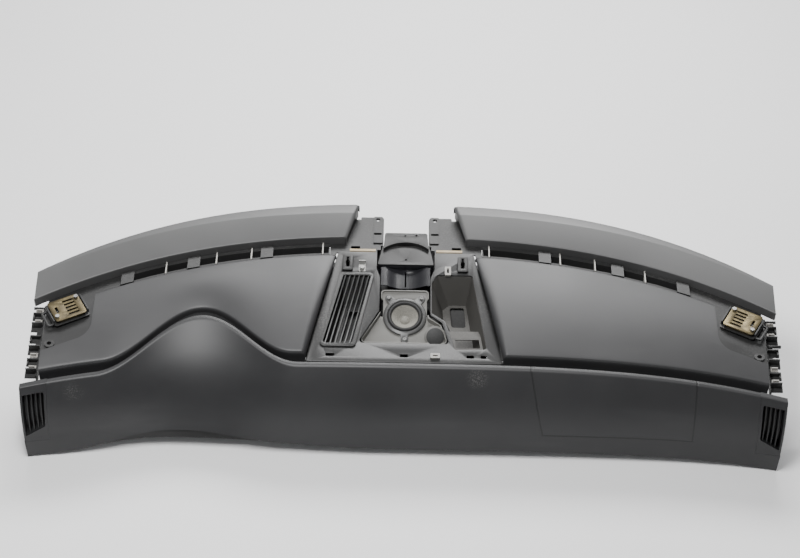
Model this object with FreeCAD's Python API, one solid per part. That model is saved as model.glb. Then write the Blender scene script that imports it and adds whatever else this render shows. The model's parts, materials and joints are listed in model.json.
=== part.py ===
"""Upper dashboard of a left-hand-drive car, stripped of its display and its centre cover.

X runs across the car, to the right when the dashboard is seen from the seats.
Y runs from the seats towards the windscreen, and Z runs up.
The origin is the middle of the whole part's base.
All sizes are in millimetres.
"""
import FreeCAD, Part
import math
import os

Vector = FreeCAD.Vector

# Overall lines, measured at the middle of the dashboard unless a name says otherwise
half_width = 725.0
end_taper = 7.0            # each end is this much narrower at the floor than at the crest
bottom_height = 20.0       # the lower edge of the front face above its two end corners
bottom_back = 2.0
bottom_wrap = 18.0         # how far the lower corners come forward of the middle
crest_height = 178.0
crest_back = 72.0          # the crest behind the lower edge
front_wrap = 58.0          # how far the crest's ends come forward of the middle
crest_drop = 18.0          # how far the crest's ends lie below the middle
face_bow = 22.0            # how far the front face swells out of its chord
ledge_width = 11.0
valley_depth = 15.0
valley_width = 25.0        # from the crest to the front wall of the deck pads
deck_step = 12.0           # the deck pads' front edge above the crest
deck_rise = 28.0
deck_depth = 246.0
deck_crown = 12.0
deck_wrap = 182.0          # how far the rear line of the deck comes forward at the ends
deck_drop = 22.0
slot_depth = 8.0           # the floor of the demister slot below the deck
slot_width = 37.0
trim_front = 19.0          # height of the windscreen trims' front wall
trim_face = 58.0
trim_lift = 12.0
trim_edge = 25.0           # width of the light band behind the trims' fold
trim_edge_end = 6.0
trim_tail = 14.0
rear_wrap = 200.0

# Instrument hood, over the driver's side
hood_x = -392.0
hood_reach = 192.0
hood_back = 102.0          # how far the crest runs back over the instruments
hood_rise = 28.0
hood_deck_reach = 180.0
hood_deck_back = 110.0
hood_deck_rise = 12.0
knee_x = -450.0            # the lower edge swells up and out under the hood
knee_left = 230.0
knee_right = 420.0
knee_rise = 16.0
knee_out = 9.0
lip_x = -440.0             # the carrier's lip shows under the padding there
lip_reach = 210.0
lip_height = 16.0
lip_everywhere = 1.5

# Walls and the clearance between pieces that touch
pad_wall = 5.0
trim_wall = 3.5
carrier_wall = 3.0
seat_gap = 0.3

# Spacing of the sections through the long pieces
coarse_step = 112.0
fine_step = 44.0
wide_radius = 20.0         # bows wider than this are straight runs on the hidden carrier

# Ends and joints between the skins
pad_end = half_width - 35.0   # outer end of each deck pad and of the carrier
trim_end = half_width - 11.0
deck_inner_front = 188.0   # inner edge of a deck pad at its front wall
deck_inner_rear = 136.0
trim_start = 35.0          # the trims' inner ends are shaped within this width
slant_reach = 45.0         # the slant of both inner edges fades out over this width
deck_roll = 20.0           # width of the rounded flank along that edge
roll_front = 13.0
roll_rear = 5.0
trim_inner_front = 117.0
trim_inner_rear = 94.0
trim_roll = 5.0
notch_x = half_width - 125.0  # the deck pads are cut back behind this line for the end brackets
notch_front = crest_back + 14.0
notch_side = crest_back + valley_width + deck_depth - 215.0
notch_round = 42.0

# Side vents in both ends of the front face
vent_x = half_width - 52.0
vent_low = 46.0
vent_depth = 26.0
vent_rim = 5.0
vane_count = 4
vane_wall = 2.0

# Passenger airbag: the tear line in the skin and the chute behind it
seam_x0 = 241.0
seam_x1 = half_width - 173.0
seam_low = 62.0
seam_side_lean = 26.0
seam_round = 30.0
seam_groove = 1.8
seam_cut = 1.2
chute_inset = 14.0
chute_depth = 70.0
chute_wall = 2.5

# Demister ducts behind the deck
duct_x0 = 150.0
duct_x1 = notch_x - 44.0
duct_drop = 26.0
duct_wall = 2.2
duct_flange = 6.0
fin_wall = 2.5
retainer_places = (duct_x0 + 112.0, (duct_x0 + duct_x1) / 2 + 51.0, duct_x1 - 26.0)
fin_places = (duct_x0 + 13.0, retainer_places[0] + 41.0, retainer_places[1] - 33.0,
              (retainer_places[1] + retainer_places[2]) / 2 + 1.0)
retainer_length = 24.0

# Centre well: a sloping plane between the deck pads
well_near = crest_back + valley_width
well_end = well_near + deck_depth
well_front = well_near + 13.0
well_height = crest_height - 6.0
well_slope = (deck_step + deck_rise - 0.39) / (well_end - well_front)
well_wall = 3.0
well_skirt = 15.0
well_flange = 2.5          # thickness of the flange under the carrier
boss_radius = 6.0

# Speaker, tilted towards the seats
speaker_y = (well_near + well_end) / 2 - 12.0
speaker_z = crest_height - 1.5
speaker_tilt = 15.0
speaker_radius = 42.0
surround_radius = 33.0
cone_radius = 27.0
dust_radius = 11.0
basket_depth = 26.0
magnet_radius = 26.0
magnet_height = 13.0
screw_radius = 3.4

# Outlet, display housing and clips of the well
grille_front_x0 = -161.0
grille_front_x1 = -97.0
grille_rear_x0 = -125.0
grille_rear_x1 = -64.0
grille_front_y = well_near + 32.0
grille_rear_y = well_end - 46.0
slat_count = 6
slat_wall = 2.2
recess_depth = 56.0
module_half = 55.0
module_front = well_end - 26.0
module_rear = well_end + 28.0
module_top = crest_height + deck_step + deck_rise - 4.4
module_height = 28.0
module_arch = 62.0
flange_rear = module_rear + 29.0
cowl_front = module_front - 46.0
cowl_sag = 9.0
socket_places = (-114.0, 112.0)
rail_slots = ((-8.0, 15.0), (119.0, 14.0), (146.0, 12.0), (-150.0, 16.0))
boss_places = (well_near + 53.0, (well_near + well_end) / 2 + 12.0, well_end - 27.0)
ear_reach = 52.0
ear_angles = (52.0, 128.0, 270.0)
window_count = 6
disc_x = 59.0
disc_y = well_near + 63.0
disc_z = speaker_z - 4.5
disc_radius = 17.0
disc_tilt = 42.0
dome_radius = 21.0
strap_x = -85.5
strap_y = well_end - 31.0

# Carrier's webs and rear tabs
web_wall = 2.5
web_drop = 26.0
web_reach = 600.0          # webs stand on the sections between the well and this line
tab_inner = 45.0
tab_outer = 91.0
tab_rear = well_end + 115.0

# Ends
bracket_x = half_width - 75.0
bracket_y = well_end - 157.0
bracket_width = 62.0
bracket_depth = 56.0
bracket_lift = 9.0
block_lift = 1.2
rail_x = half_width - 30.4
rail_width = 24.0
rail_front = crest_back - 22.0
rail_rear = well_end - 133.0
rail_low = crest_height - 26.0
rail_high = crest_height + 4.0
rail_pitch = 26.0
clip_places = (rail_front + 14.0, rail_front + 42.0, rail_rear - 42.0, rail_rear - 18.0)
pin_y = notch_side + 17.0

# Fastening holes
tab_hole_x = 57.0
tab_hole_y = tab_rear - 10.0
tab_hole_radius = 4.5
end_hole_x = half_width - 49.0
end_hole_y = notch_front + 22.0
end_hole_radius = 4.5

# Room that clears the whole dashboard, for cutters
far_front = -80.0
far_rear = well_end + 200.0
far_low = crest_height - 90.0
far_high = crest_height + 120.0


def sag(x, depth, power):
    """How far a line that bends towards its ends has moved at x."""
    return depth * (abs(x) / half_width) ** power


def swell(x, middle, left, right):
    """A smooth hump: 1 at its middle, 0 past its reach on each side."""
    reach = left if x < middle else right
    away = abs(x - middle)
    if away >= reach:
        return 0.0
    return math.cos(math.pi / 2 * away / reach) ** 2


def hood(x):
    return swell(x, hood_x, hood_reach, hood_reach)


def hood_deck(x):
    return swell(x, hood_x, hood_deck_reach, hood_deck_reach)


def lip_length(x):
    return lip_everywhere + lip_height * swell(x, lip_x, lip_reach, lip_reach)


def crest(x):
    y = crest_back - sag(x, front_wrap, 3.4) + hood_back * hood(x)
    z = crest_height - sag(x, crest_drop, 2.4) + hood_rise * hood(x)
    return y, z


def face_bottom(x):
    """Lower edge of the padded front face; the carrier's lip shows below it."""
    knee = swell(x, knee_x, knee_left, knee_right)
    y = bottom_back - sag(x, bottom_wrap, 5.0) + knee_out * knee
    z = bottom_height - sag(x, bottom_height, 3.4) + knee_rise * knee
    lip = lip_length(x)
    back, top = crest(x)
    run = math.hypot(back - y, top - z)
    return y + lip * (back - y) / run, z + lip * (top - z) / run


def deck_front(x):
    y = crest_back + valley_width - sag(x, front_wrap, 3.4) + hood_deck_back * hood_deck(x)
    z = crest_height + deck_step - sag(x, crest_drop, 2.4) + hood_deck_rise * hood_deck(x)
    return y, z


def deck_rear(x):
    y = crest_back + valley_width + deck_depth - sag(x, deck_wrap, 2.5)
    z = crest_height + deck_step + deck_rise - sag(x, deck_drop, 2.4)
    return y, z


def slot_floor(x):
    return deck_rear(x)[1] - slot_depth


def trim_foot(x):
    return deck_rear(x)[0] + slot_width, slot_floor(x) + trim_front


def trim_rear(x):
    y = crest_back + valley_width + deck_depth + slot_width + trim_face + trim_edge
    return y - sag(x, rear_wrap, 2.6), trim_foot(x)[1] + trim_lift + 0.5


def trim_fold(x):
    y, z = trim_rear(x)
    share = max(1.0 - (abs(x) / trim_end) ** 2.2, 0.0)
    return y - trim_edge_end - (trim_edge - trim_edge_end) * share, z - 0.5


def valley_floor(x):
    return crest(x)[1] - valley_depth


def turn(path, i):
    """Signed turn at corner i: above zero where the line bends towards the inside."""
    y0, z0 = path[i - 1][:2]
    y1, z1 = path[i][:2]
    y2, z2 = path[i + 1][:2]
    bend = math.atan2(z1 - z0, y1 - y0) - math.atan2(z2 - z1, y2 - y1)
    return math.atan2(math.sin(bend), math.cos(bend))


def bow(path, i, share):
    """Corner i rounded by the largest arc that leaves its two runs a share to spare."""
    y0, z0 = path[i - 1][:2]
    y1, z1 = path[i][:2]
    y2, z2 = path[i + 1][:2]
    run = share * min(math.hypot(y1 - y0, z1 - z0), math.hypot(y2 - y1, z2 - z1))
    radius = run / math.tan(abs(turn(path, i)) / 2)
    return path[:i] + [(y1, z1, radius)] + path[i + 1:]


def parallel(path, depths):
    """The same line moved inwards, each run by its own depth."""
    moved = []
    normals = []
    for (y0, z0, _), (y1, z1, _) in zip(path, path[1:]):
        run = math.hypot(y1 - y0, z1 - z0)
        normals.append(((z1 - z0) / run, (y0 - y1) / run))
    for i, (y, z, radius) in enumerate(path):
        before = max(i - 1, 0)
        after = min(i, len(normals) - 1)
        (ny0, nz0), (ny1, nz1) = normals[before], normals[after]
        cross = ny0 * nz1 - nz0 * ny1
        if abs(cross) < 1e-3:
            shift_y = ny1 * depths[after]
            shift_z = nz1 * depths[after]
        else:
            shift_y = (depths[before] * nz1 - depths[after] * nz0) / cross
            shift_z = (depths[after] * ny0 - depths[before] * ny1) / cross
        if 0 < i < len(path) - 1 and radius > 0:
            depth = (depths[before] + depths[after]) / 2
            radius = radius - depth if turn(path, i) > 0 else radius + depth
        moved.append((y + shift_y, z + shift_z, radius if radius > 0.2 else 0.0))
    return moved


def chords(path):
    """The line with each wide bow drawn as two straight runs and each small rounding left out."""
    points = []
    for i, (y, z, radius) in enumerate(path):
        if radius < wide_radius:
            points.append((y, z, 0))
            continue
        half = abs(turn(path, i)) / 2
        run = radius * math.tan(half)
        for j in (i - 1, i + 1):
            share = run / math.hypot(path[j][0] - y, path[j][1] - z)
            points.append((y + (path[j][0] - y) * share, z + (path[j][1] - z) * share, 0))
        (y0, z0, _), (y1, z1, _) = points[-2:]
        rise = radius * (1 - math.cos(half)) / math.hypot(y - (y0 + y1) / 2, z - (z0 + z1) / 2)
        middle = ((y0 + y1) / 2 + (y - (y0 + y1) / 2) * rise, (z0 + z1) / 2 + (z - (z0 + z1) / 2) * rise, 0)
        points.insert(-1, middle)
    return points


def edges_of(path, place):
    """Straight runs and corner arcs of a line, set in space by place(y, z)."""
    edges = []
    start = place(*path[0][:2])
    for i in range(1, len(path) - 1):
        y, z, radius = path[i]
        corner = place(y, z)
        if radius > 0:
            half = abs(turn(path, i)) / 2
            ends = []
            for other in (path[i - 1], path[i + 1]):
                run = math.hypot(other[0] - y, other[1] - z)
                share = radius * math.tan(half) / run
                ends.append((y + (other[0] - y) * share, z + (other[1] - z) * share))
            middle_y = (ends[0][0] + ends[1][0]) / 2
            middle_z = (ends[0][1] + ends[1][1]) / 2
            chord_gap = math.hypot(middle_y - y, middle_z - z)
            reach = radius / math.cos(half) - radius
            top = place(y + (middle_y - y) * reach / chord_gap, z + (middle_z - z) * reach / chord_gap)
            first, last = place(*ends[0]), place(*ends[1])
            edges.append(Part.LineSegment(start, first).toShape())
            edges.append(Part.Arc(first, top, last).toShape())
            start = last
        else:
            edges.append(Part.LineSegment(start, corner).toShape())
            start = corner
    edges.append(Part.LineSegment(start, place(*path[-1][:2])).toShape())
    return edges


def ring_wire(outer, inner, place):
    """Closed wire round the wall between an outer and an inner line."""
    back = list(reversed(inner))
    edges = edges_of(outer, place)
    edges.append(Part.LineSegment(place(*outer[-1][:2]), place(*back[0][:2])).toShape())
    edges += edges_of(back, place)
    edges.append(Part.LineSegment(place(*back[-1][:2]), place(*outer[0][:2])).toShape())
    return Part.Wire(edges)


def loft(wires):
    return Part.makeLoft(wires, True, True)


def upright(x, slant=0.0, pivot=0.0):
    """Puts a section at x; both ends of the car lean in a little towards the floor.

    A slant turns the section in plan about the line y = pivot.
    """
    lean = end_taper * (x / half_width) ** 3 / crest_height
    return lambda y, z: Vector(x - slant * (y - pivot) - lean * (crest_height - z), y, z)


def evenly(start, stop, step):
    count = max(1, int(math.ceil(abs(stop - start) / step)))
    return [start + (stop - start) * i / count for i in range(count + 1)]


def stations(start, stop):
    """Places across the car for the sections of long pieces, closer together at the hood.

    Every long piece takes its sections from the same places, so that pieces which lie
    on each other have the same flat strips between them and don't cross.
    """
    left, right = max(hood_x - hood_reach, -pad_end), hood_x + hood_reach
    middle = trim_inner_front + trim_start
    places = evenly(-pad_end, left, coarse_step)[:-1] + evenly(left, right, fine_step)
    places += [x for x in evenly(-middle, middle, coarse_step) if x > right + 2]
    places += evenly(max(-right, middle + 2), pad_end, coarse_step)
    inside = [x for x in places if start + 2 < x < stop - 2]
    return [start] + inside + [stop]


def side_stations(side, first, last):
    """Distances from the middle of the car to the stations on one side."""
    if side > 0:
        return stations(first, last)
    return [-x for x in reversed(stations(-last, -first))]


def front_line(x):
    """Front face, crest, ledge and valley of the padded front."""
    y0, z0 = face_bottom(x)
    y1, z1 = crest(x)
    run = math.hypot(y1 - y0, z1 - z0)
    out = face_bow * (1 + 0.4 * hood(x))
    middle = ((y0 + y1) / 2 - out * (z1 - z0) / run, (z0 + z1) / 2 + out * (y1 - y0) / run, 0)
    low = valley_floor(x)
    ledge = y1 + ledge_width
    path = [(y0, z0, 0), middle, (y1, z1, 4.0), (ledge, z1 + 0.5, 4.0), (ledge + 5.0, low, 3.0),
            (deck_front(x)[0] + pad_wall - 2 * seat_gap, low, 0)]
    return bow(path, 1, 0.7)


def under_front_line(x):
    """The same line without the foam ridge: what the carrier follows."""
    path = front_line(x)
    (y1, z1, _), (y2, z2, _) = path[1], path[2]
    low = valley_floor(x)
    y = y2 - (z2 - low) * (y2 - y1) / (z2 - z1)
    room = 0.96 * math.hypot(y - y1, low - z1) / math.tan(abs(turn(path, 1)) / 2)
    return [path[0], (y1, z1, min(path[1][2], room)), (y, low, 4.0), path[-1]]


def met(edge, x, slant, pivot):
    """Where a section, slanted in plan, meets an edge line of the skins."""
    return edge(x - slant * (edge(x)[0] - pivot))


def deck_line(x, roll=0.0, slant=0.0, pivot=0.0):
    """Front wall, crowned top and rear wall of a deck pad; roll lowers it at its inner edge."""
    y0, z0 = met(deck_front, x, slant, pivot)
    y1, z1 = met(deck_rear, x, slant, pivot)
    z0 -= roll * roll_front
    z1 -= roll * roll_rear
    middle = ((y0 + y1) / 2, (z0 + z1) / 2 + deck_crown, 0)
    front_foot = valley_floor(x - slant * (y0 - pivot)) + seat_gap
    rear_foot = slot_floor(x - slant * (y1 - pivot)) + seat_gap - roll * roll_rear
    path = [(y0, front_foot, 0), (y0, z0, 7.0), middle, (y1, z1, 4.0), (y1, rear_foot, 0)]
    run = math.hypot(middle[0] - y0, middle[1] - z0)
    return bow(path, 2, min(0.86, 1 - (pad_wall + 2) / run))


def trim_line(x, roll=0.0, slant=0.0, pivot=0.0):
    """Front wall, face, light band and tail of a windscreen trim."""
    y0, z0 = met(trim_foot, x, slant, pivot)
    y1, z1 = met(trim_fold, x, slant, pivot)
    y2, z2 = met(trim_rear, x, slant, pivot)
    z0, z1, z2 = z0 - roll, z1 - roll, z2 - roll
    return [(y0, slot_floor(x) + seat_gap, 0), (y0, z0, 3.0), (y1, z1, 0), (y2, z2, 3.0),
            (y2, z2 - trim_tail, 0)]


def carrier_line(x):
    """Everything that the carrier follows, from its lip to the windscreen edge."""
    front = under_front_line(x)
    (y0, z0, _), (y1, z1, _) = front[0], front[1]
    run = math.hypot(y1 - y0, z1 - z0)
    lip = lip_length(x)
    start = (y0 - (y1 - y0) * lip / run, z0 - (z1 - z0) * lip / run, 0)
    deck = deck_line(x)
    trim = trim_line(x)
    floor = slot_floor(x)
    return [start, front[1], front[2], (deck[0][0], valley_floor(x), 0), deck[1], deck[2], deck[3],
            (deck[4][0], floor, 0), (trim[0][0], floor, 0)] + trim[1:]


def front_skin(start, stop, outside, inside):
    """A layer of the front face between two depths below its surface."""
    wires = []
    for x in stations(start, stop):
        line = front_line(x)
        outer = parallel(line, [outside] * (len(line) - 1)) if outside else line
        back = under_front_line(x)
        wires.append(ring_wire(outer, parallel(back, [inside] * (len(back) - 1)), upright(x)))
    return loft(wires)


def face_layer(start, stop, outside, inside, straight=False):
    """A layer of the front face between two depths; straight for hidden pieces on the carrier."""
    places = stations(-pad_end, pad_end)
    first = max(x for x in places if x <= start)
    last = min(x for x in places if x >= stop)
    wires = []
    for x in stations(first, last):
        line = under_front_line(x)[:3]
        line[2] = (line[2][0], line[2][1], 0)
        if straight:
            line = chords(line)
        runs = len(line) - 1
        wires.append(ring_wire(parallel(line, [outside] * runs), parallel(line, [inside] * runs), upright(x)))
    return loft(wires)


def polygon(corners, z=0.0):
    """Flat face with rounded corners, each corner given as (x, y, radius)."""
    count = len(corners)
    cuts = []
    for i, (x, y, radius) in enumerate(corners):
        ax, ay, _ = corners[i - 1]
        bx, by, _ = corners[(i + 1) % count]
        run_a = math.hypot(ax - x, ay - y)
        run_b = math.hypot(bx - x, by - y)
        ua = ((ax - x) / run_a, (ay - y) / run_a)
        ub = ((bx - x) / run_b, (by - y) / run_b)
        if radius <= 0:
            cuts.append((Vector(x, y, z), None, Vector(x, y, z)))
            continue
        half = math.acos(max(-1.0, min(1.0, ua[0] * ub[0] + ua[1] * ub[1]))) / 2
        run = min(radius / math.tan(half), 0.48 * run_a, 0.48 * run_b)
        fitted = run * math.tan(half)
        bisector = math.hypot(ua[0] + ub[0], ua[1] + ub[1])
        reach = (fitted / math.sin(half) - fitted) / bisector
        cuts.append((Vector(x + ua[0] * run, y + ua[1] * run, z),
                     Vector(x + (ua[0] + ub[0]) * reach, y + (ua[1] + ub[1]) * reach, z),
                     Vector(x + ub[0] * run, y + ub[1] * run, z)))
    edges = []
    for i in range(count):
        first, top, last = cuts[i]
        if top:
            edges.append(Part.Arc(first, top, last).toShape())
        edges.append(Part.LineSegment(last, cuts[(i + 1) % count][0]).toShape())
    return Part.Face(Part.Wire(edges))


def prism(corners, z0, z1):
    return polygon(corners, z0).extrude(Vector(0, 0, z1 - z0))


def box(x0, x1, y0, y1, z0, z1):
    return Part.makeBox(x1 - x0, y1 - y0, z1 - z0, Vector(x0, y0, z0))


def rod(radius, base, direction, length):
    return Part.makeCylinder(radius, length, base, direction)


def fuse(shapes):
    return shapes[0].multiFuse(shapes[1:]).removeSplitter()


def group(shapes):
    return Part.makeCompound(shapes)


def mirrored(shape):
    return shape.mirror(Vector(0, 0, 0), Vector(1, 0, 0))


def both_sides(side, shape):
    return shape if side > 0 else mirrored(shape)


# Skins

def inner_edge(y):
    """Half the gap between the deck pads at depth y."""
    slope = (deck_inner_front - deck_inner_rear) / deck_depth
    return deck_inner_front - slope * (y - crest_back - valley_width)


def deck_pad(side):
    """Padded deck beside the well, rolled down along its inner edge, cut back for the bracket."""
    middle_y = crest_back + valley_width + deck_depth / 2
    middle_x = inner_edge(middle_y)
    slope = (deck_inner_front - deck_inner_rear) / deck_depth
    offsets = [deck_roll * share for share in (0.0, 0.1, 0.3, 0.6, 1.0)]
    offsets += [x - middle_x for x in side_stations(side, middle_x + deck_roll + 20, pad_end)]
    wires = []
    for offset in offsets:
        x = side * (middle_x + offset)
        slant = side * slope * max(1 - offset / slant_reach, 0.0)
        roll = 1 - math.sqrt(1 - (1 - min(offset / deck_roll, 1.0)) ** 2)
        line = deck_line(x, roll, slant, middle_y)
        inner = parallel(line, [pad_wall] * (len(line) - 1))
        wires.append(ring_wire(line, inner, upright(x, slant, middle_y)))
    pad = loft(wires)
    far = half_width + 30
    notch = prism([(side * notch_x, far_rear, 0), (side * notch_x, notch_side, notch_round),
                   (side * (pad_end + 5), notch_front, 0), (side * far, notch_front, 0),
                   (side * far, far_rear, 0)], far_low, far_high)
    return pad.cut(notch)


def front_pad():
    """One padded skin from end to end, with the hood, the ledge and the airbag's tear line."""
    skin = front_skin(-half_width, half_width, 0, pad_wall)
    for side in (-1, 1):
        skin = skin.cut(box_at(side, vent_x, half_width + 5, far_front, far_rear, vent_low, far_high))
    return skin.cut(seam_cutter())


def box_at(side, x0, x1, y0, y1, z0, z1):
    if side < 0:
        x0, x1 = -x1, -x0
    return box(x0, x1, y0, y1, z0, z1)


def seam_outline(inset):
    """U of the airbag door in the X-Z plane, as corners of an open line."""
    top = crest_height + 30
    return [(seam_x0 + inset, top, 0), (seam_x0 + seam_side_lean + inset, seam_low + inset, seam_round),
            (seam_x1 - inset, seam_low + inset, seam_round), (seam_x1 + 3 - inset, top, 0)]


def seam_cutter():
    """Thin layer under the skin, kept only along the U."""
    layer = face_layer(seam_x0 - 20, seam_x1 + 20, -0.6, seam_cut)
    wide = prism(seam_outline(0), 12 - crest_back, -2 * far_front)
    narrow = prism(seam_outline(seam_groove), 2 - crest_back, 10 - 2 * far_front)
    band = wide.cut(narrow)
    band.rotate(Vector(0, 0, 0), Vector(1, 0, 0), 90)
    return layer.common(band)


def windscreen_trim(side):
    """Painted trim along the windscreen, hollow underneath, with stiffening webs."""
    foot_y = trim_foot(0)[0]
    slope = (trim_inner_front - trim_inner_rear) / (trim_rear(0)[0] - foot_y)
    offsets = [0.0, 1.0, 3.0, trim_roll + 2]
    offsets += [x - trim_inner_front for x in side_stations(side, trim_inner_front + trim_start, trim_end)]
    wires = []
    for offset in offsets:
        x = side * (trim_inner_front + offset)
        slant = side * slope * max(1 - offset / slant_reach, 0.0)
        roll = trim_roll * (1 - math.sqrt(1 - (1 - min(offset / (trim_roll + 2), 1.0)) ** 2))
        line = trim_line(x, roll, slant, foot_y)
        inner = parallel(line, [trim_wall] * (len(line) - 1))
        wires.append(ring_wire(line, inner, upright(x, slant, foot_y)))
    return loft(wires)


def vent_wire(x, outside, inside):
    """Section of a side vent between two depths below the face, closed behind the ledge."""
    face = under_front_line(x)[:3]
    face[2] = (face[2][0], face[2][1], 0)
    if outside is None:
        line = front_line(x)
        outer = [line[0], line[1], line[2], (line[3][0], line[3][1], 0)]
    else:
        outer = parallel(face, [outside] * 2)
    return ring_wire(outer, parallel(face, [inside] * 2), upright(x))


def side_vent(side):
    """End bezel of the front face, with its recess and slanting lower lip."""
    inner, outer = vent_x + seat_gap, half_width - 1.0
    body = loft([vent_wire(side * x, None, vent_depth) for x in evenly(inner, outer, 26.0)])
    body = body.common(box_at(side, inner, half_width + 9, far_front, far_rear, vent_low + seat_gap, far_high))
    recess = vent_recess(side)
    return body.cut(recess)


def vent_recess(side):
    inner, outer = vent_x + vent_rim, half_width - vent_rim
    room = loft([vent_wire(side * x, -6.0, vent_depth - 3.0) for x in evenly(inner, outer, 20.0)])
    low_out, low_in = vent_low + 12, vent_low + 34
    top = crest_height - crest_drop - 12
    window = prism([(side * inner, low_in, 4), (side * outer, low_out, 4),
                    (side * outer, top, 4), (side * inner, top, 6)], -100, 100)
    window.rotate(Vector(0, 0, 0), Vector(1, 0, 0), 90)
    return room.common(window)


def vent_vanes(side):
    """Vertical vanes across the recess of a side vent."""
    inner = vent_x + vent_rim
    pitch = (half_width - vent_rim - inner) / (vane_count + 1)
    recess = vent_recess(side)
    vanes = []
    for i in range(vane_count):
        x = inner + pitch * (i + 1)
        slab = loft([vent_wire(side * place, 4.0, vent_depth - 3.0 - seat_gap)
                     for place in (x - vane_wall / 2, x + vane_wall / 2)])
        vanes += slab.common(recess).Solids
    return group(vanes)


# Carrier: the moulding that everything is fixed to

def carrier_depths():
    """How deep each run of the carrier lies under the skins."""
    pad = pad_wall + seat_gap
    trim = trim_wall + seat_gap
    return [pad] * 11 + [0.0] + [trim] * 3


def carrier_path(x):
    """The carrier's line in straight runs, without the fold of the trim."""
    line = carrier_line(x)
    return chords(line[:10] + line[11:])


def well_hole():
    """Opening of the carrier between the deck pads, as corners in plan."""
    front = crest_back + ledge_width + 8
    rear = crest_back + valley_width + deck_depth
    side_front = inner_edge(front) + deck_roll + 1
    side_rear = inner_edge(rear) + deck_roll + 2
    right = [(side_front, front, 6), (side_rear, rear + 1.5, 0), (inner_edge(rear) + 3, rear + 1.5, 0),
             (inner_edge(rear) + 1, rear + 10, 0)]
    return right + [(-x, y, r) for x, y, r in reversed(right)]


def bar(x0, x1, low, high, bottom, top, step=60.0):
    """Bar along the dashboard between two lines in plan and two heights, all functions of x."""
    wires = []
    for x in evenly(x0, x1, step):
        corners = [(low(x), bottom(x)), (high(x), bottom(x)), (high(x), top(x)), (low(x), top(x))]
        wires.append(Part.makePolygon([Vector(x, y, z) for y, z in corners + corners[:1]]))
    return loft(wires)


def web(line, x):
    """Stiffening web under a bow of the skins, across the car's length."""
    runs = chords(line)
    depth = pad_wall + seat_gap + carrier_wall / 2
    top = parallel(runs, [depth] * 4)[1:-1]
    low = parallel(runs, [depth + web_drop] * 4)[1:-1]
    wire = ring_wire(top, low, upright(x - web_wall / 2))
    return Part.Face(wire).extrude(Vector(web_wall, 0, 0))


def deck_web(x):
    return web(deck_line(x)[1:4], x)


def face_web(x):
    return web(under_front_line(x)[:3], x)


def carrier_tab(side):
    """Flat tab that reaches back beside the display, with its raised strip and holes."""
    floor = slot_floor(0)
    rear = tab_rear
    step = tab_inner + 5
    front, start = well_end + 19, well_end + 37
    plate = prism([(step, front, 0), (tab_outer, front, 0), (tab_outer, rear, 3), (tab_inner, rear, 6),
                   (tab_inner, front + 12, 0), (step, front + 12, 0)], floor - carrier_wall, floor)
    strip = prism([(tab_inner + 2, start, 2), (tab_inner + 20, start, 2), (tab_inner + 20, rear - 1, 2),
                   (tab_inner + 2, rear - 1, 4)], floor - 1, floor + 3)
    rib = box(tab_outer - 3, tab_outer, front, rear - 4, floor - 14, floor)
    edge = box(tab_inner, tab_inner + 2.5, start, rear - 8, floor - 10, floor)
    hole = rod(tab_hole_radius, Vector(tab_hole_x, tab_hole_y, floor - 20), Vector(0, 0, 1), 40)
    y0, y1 = tab_hole_y - 45, tab_hole_y - 39
    slot = prism([(tab_hole_x - 8, y0, 2.9), (tab_hole_x + 8, y0, 2.9), (tab_hole_x + 8, y1, 2.9),
                  (tab_hole_x - 8, y1, 2.9)], floor - 5, floor + 10)
    tab = fuse([plate, strip, rib, edge]).cut(hole).cut(slot)
    return both_sides(side, tab)


def end_boss(side):
    """Flat boss for the bolt that holds each end to the body."""
    x = side * end_hole_x
    z = deck_top(x, end_hole_y) - pad_wall
    return rod(10.0, Vector(x, end_hole_y, z - 9), Vector(0, 0, 1), 10.5)


def deck_top(x, y):
    """Height of the deck's surface over a point."""
    y0, z0 = deck_front(x)
    y1, z1 = deck_rear(x)
    share = (y - y0) / (y1 - y0)
    return z0 + (z1 - z0) * share + deck_crown / 2 * 4 * share * (1 - share)


def on_well(shape):
    """Set a shape, modelled flat, on the sloping plane of the well."""
    turn_up = FreeCAD.Rotation(Vector(1, 0, 0), math.degrees(math.atan(well_slope)))
    placed = shape.copy()
    placed.Placement = FreeCAD.Placement(Vector(0, well_front, well_height), turn_up)
    return placed


def along(y):
    """Distance up the well's plane of a point at depth y."""
    return (y - well_front) * math.hypot(1, well_slope)


def well_bosses():
    """Where the well frame is screwed up into the carrier: (x, y) of each boss."""
    places = []
    for y in boss_places:
        x = inner_edge(y) + deck_roll + boss_radius + 2
        places += [(-x, y), (x, y)]
    return places


def well_boss(x, y):
    """Screw boss from the carrier's underside down to the frame's flange."""
    plane = well_height + well_slope * (y - well_front)
    top = deck_top(x, y) - pad_wall - seat_gap - carrier_wall / 2 - plane
    low = well_flange - well_skirt + seat_gap
    return on_well(rod(boss_radius, Vector(x, along(y), low), Vector(0, 0, 1), top - low))


def duct_sides(x):
    """Front and rear inner lines of the demister duct, between its two flanges."""
    return deck_rear(x)[0] + 1 + duct_flange, trim_foot(x)[0] - 1.4 - duct_flange


def chute_box(grow, y0, y1):
    return box(seam_x0 + chute_inset + 18 - grow, seam_x1 - chute_inset - 6 + grow, y0, y1,
               seam_low + chute_inset - grow, crest_height - 48 + grow)


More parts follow.
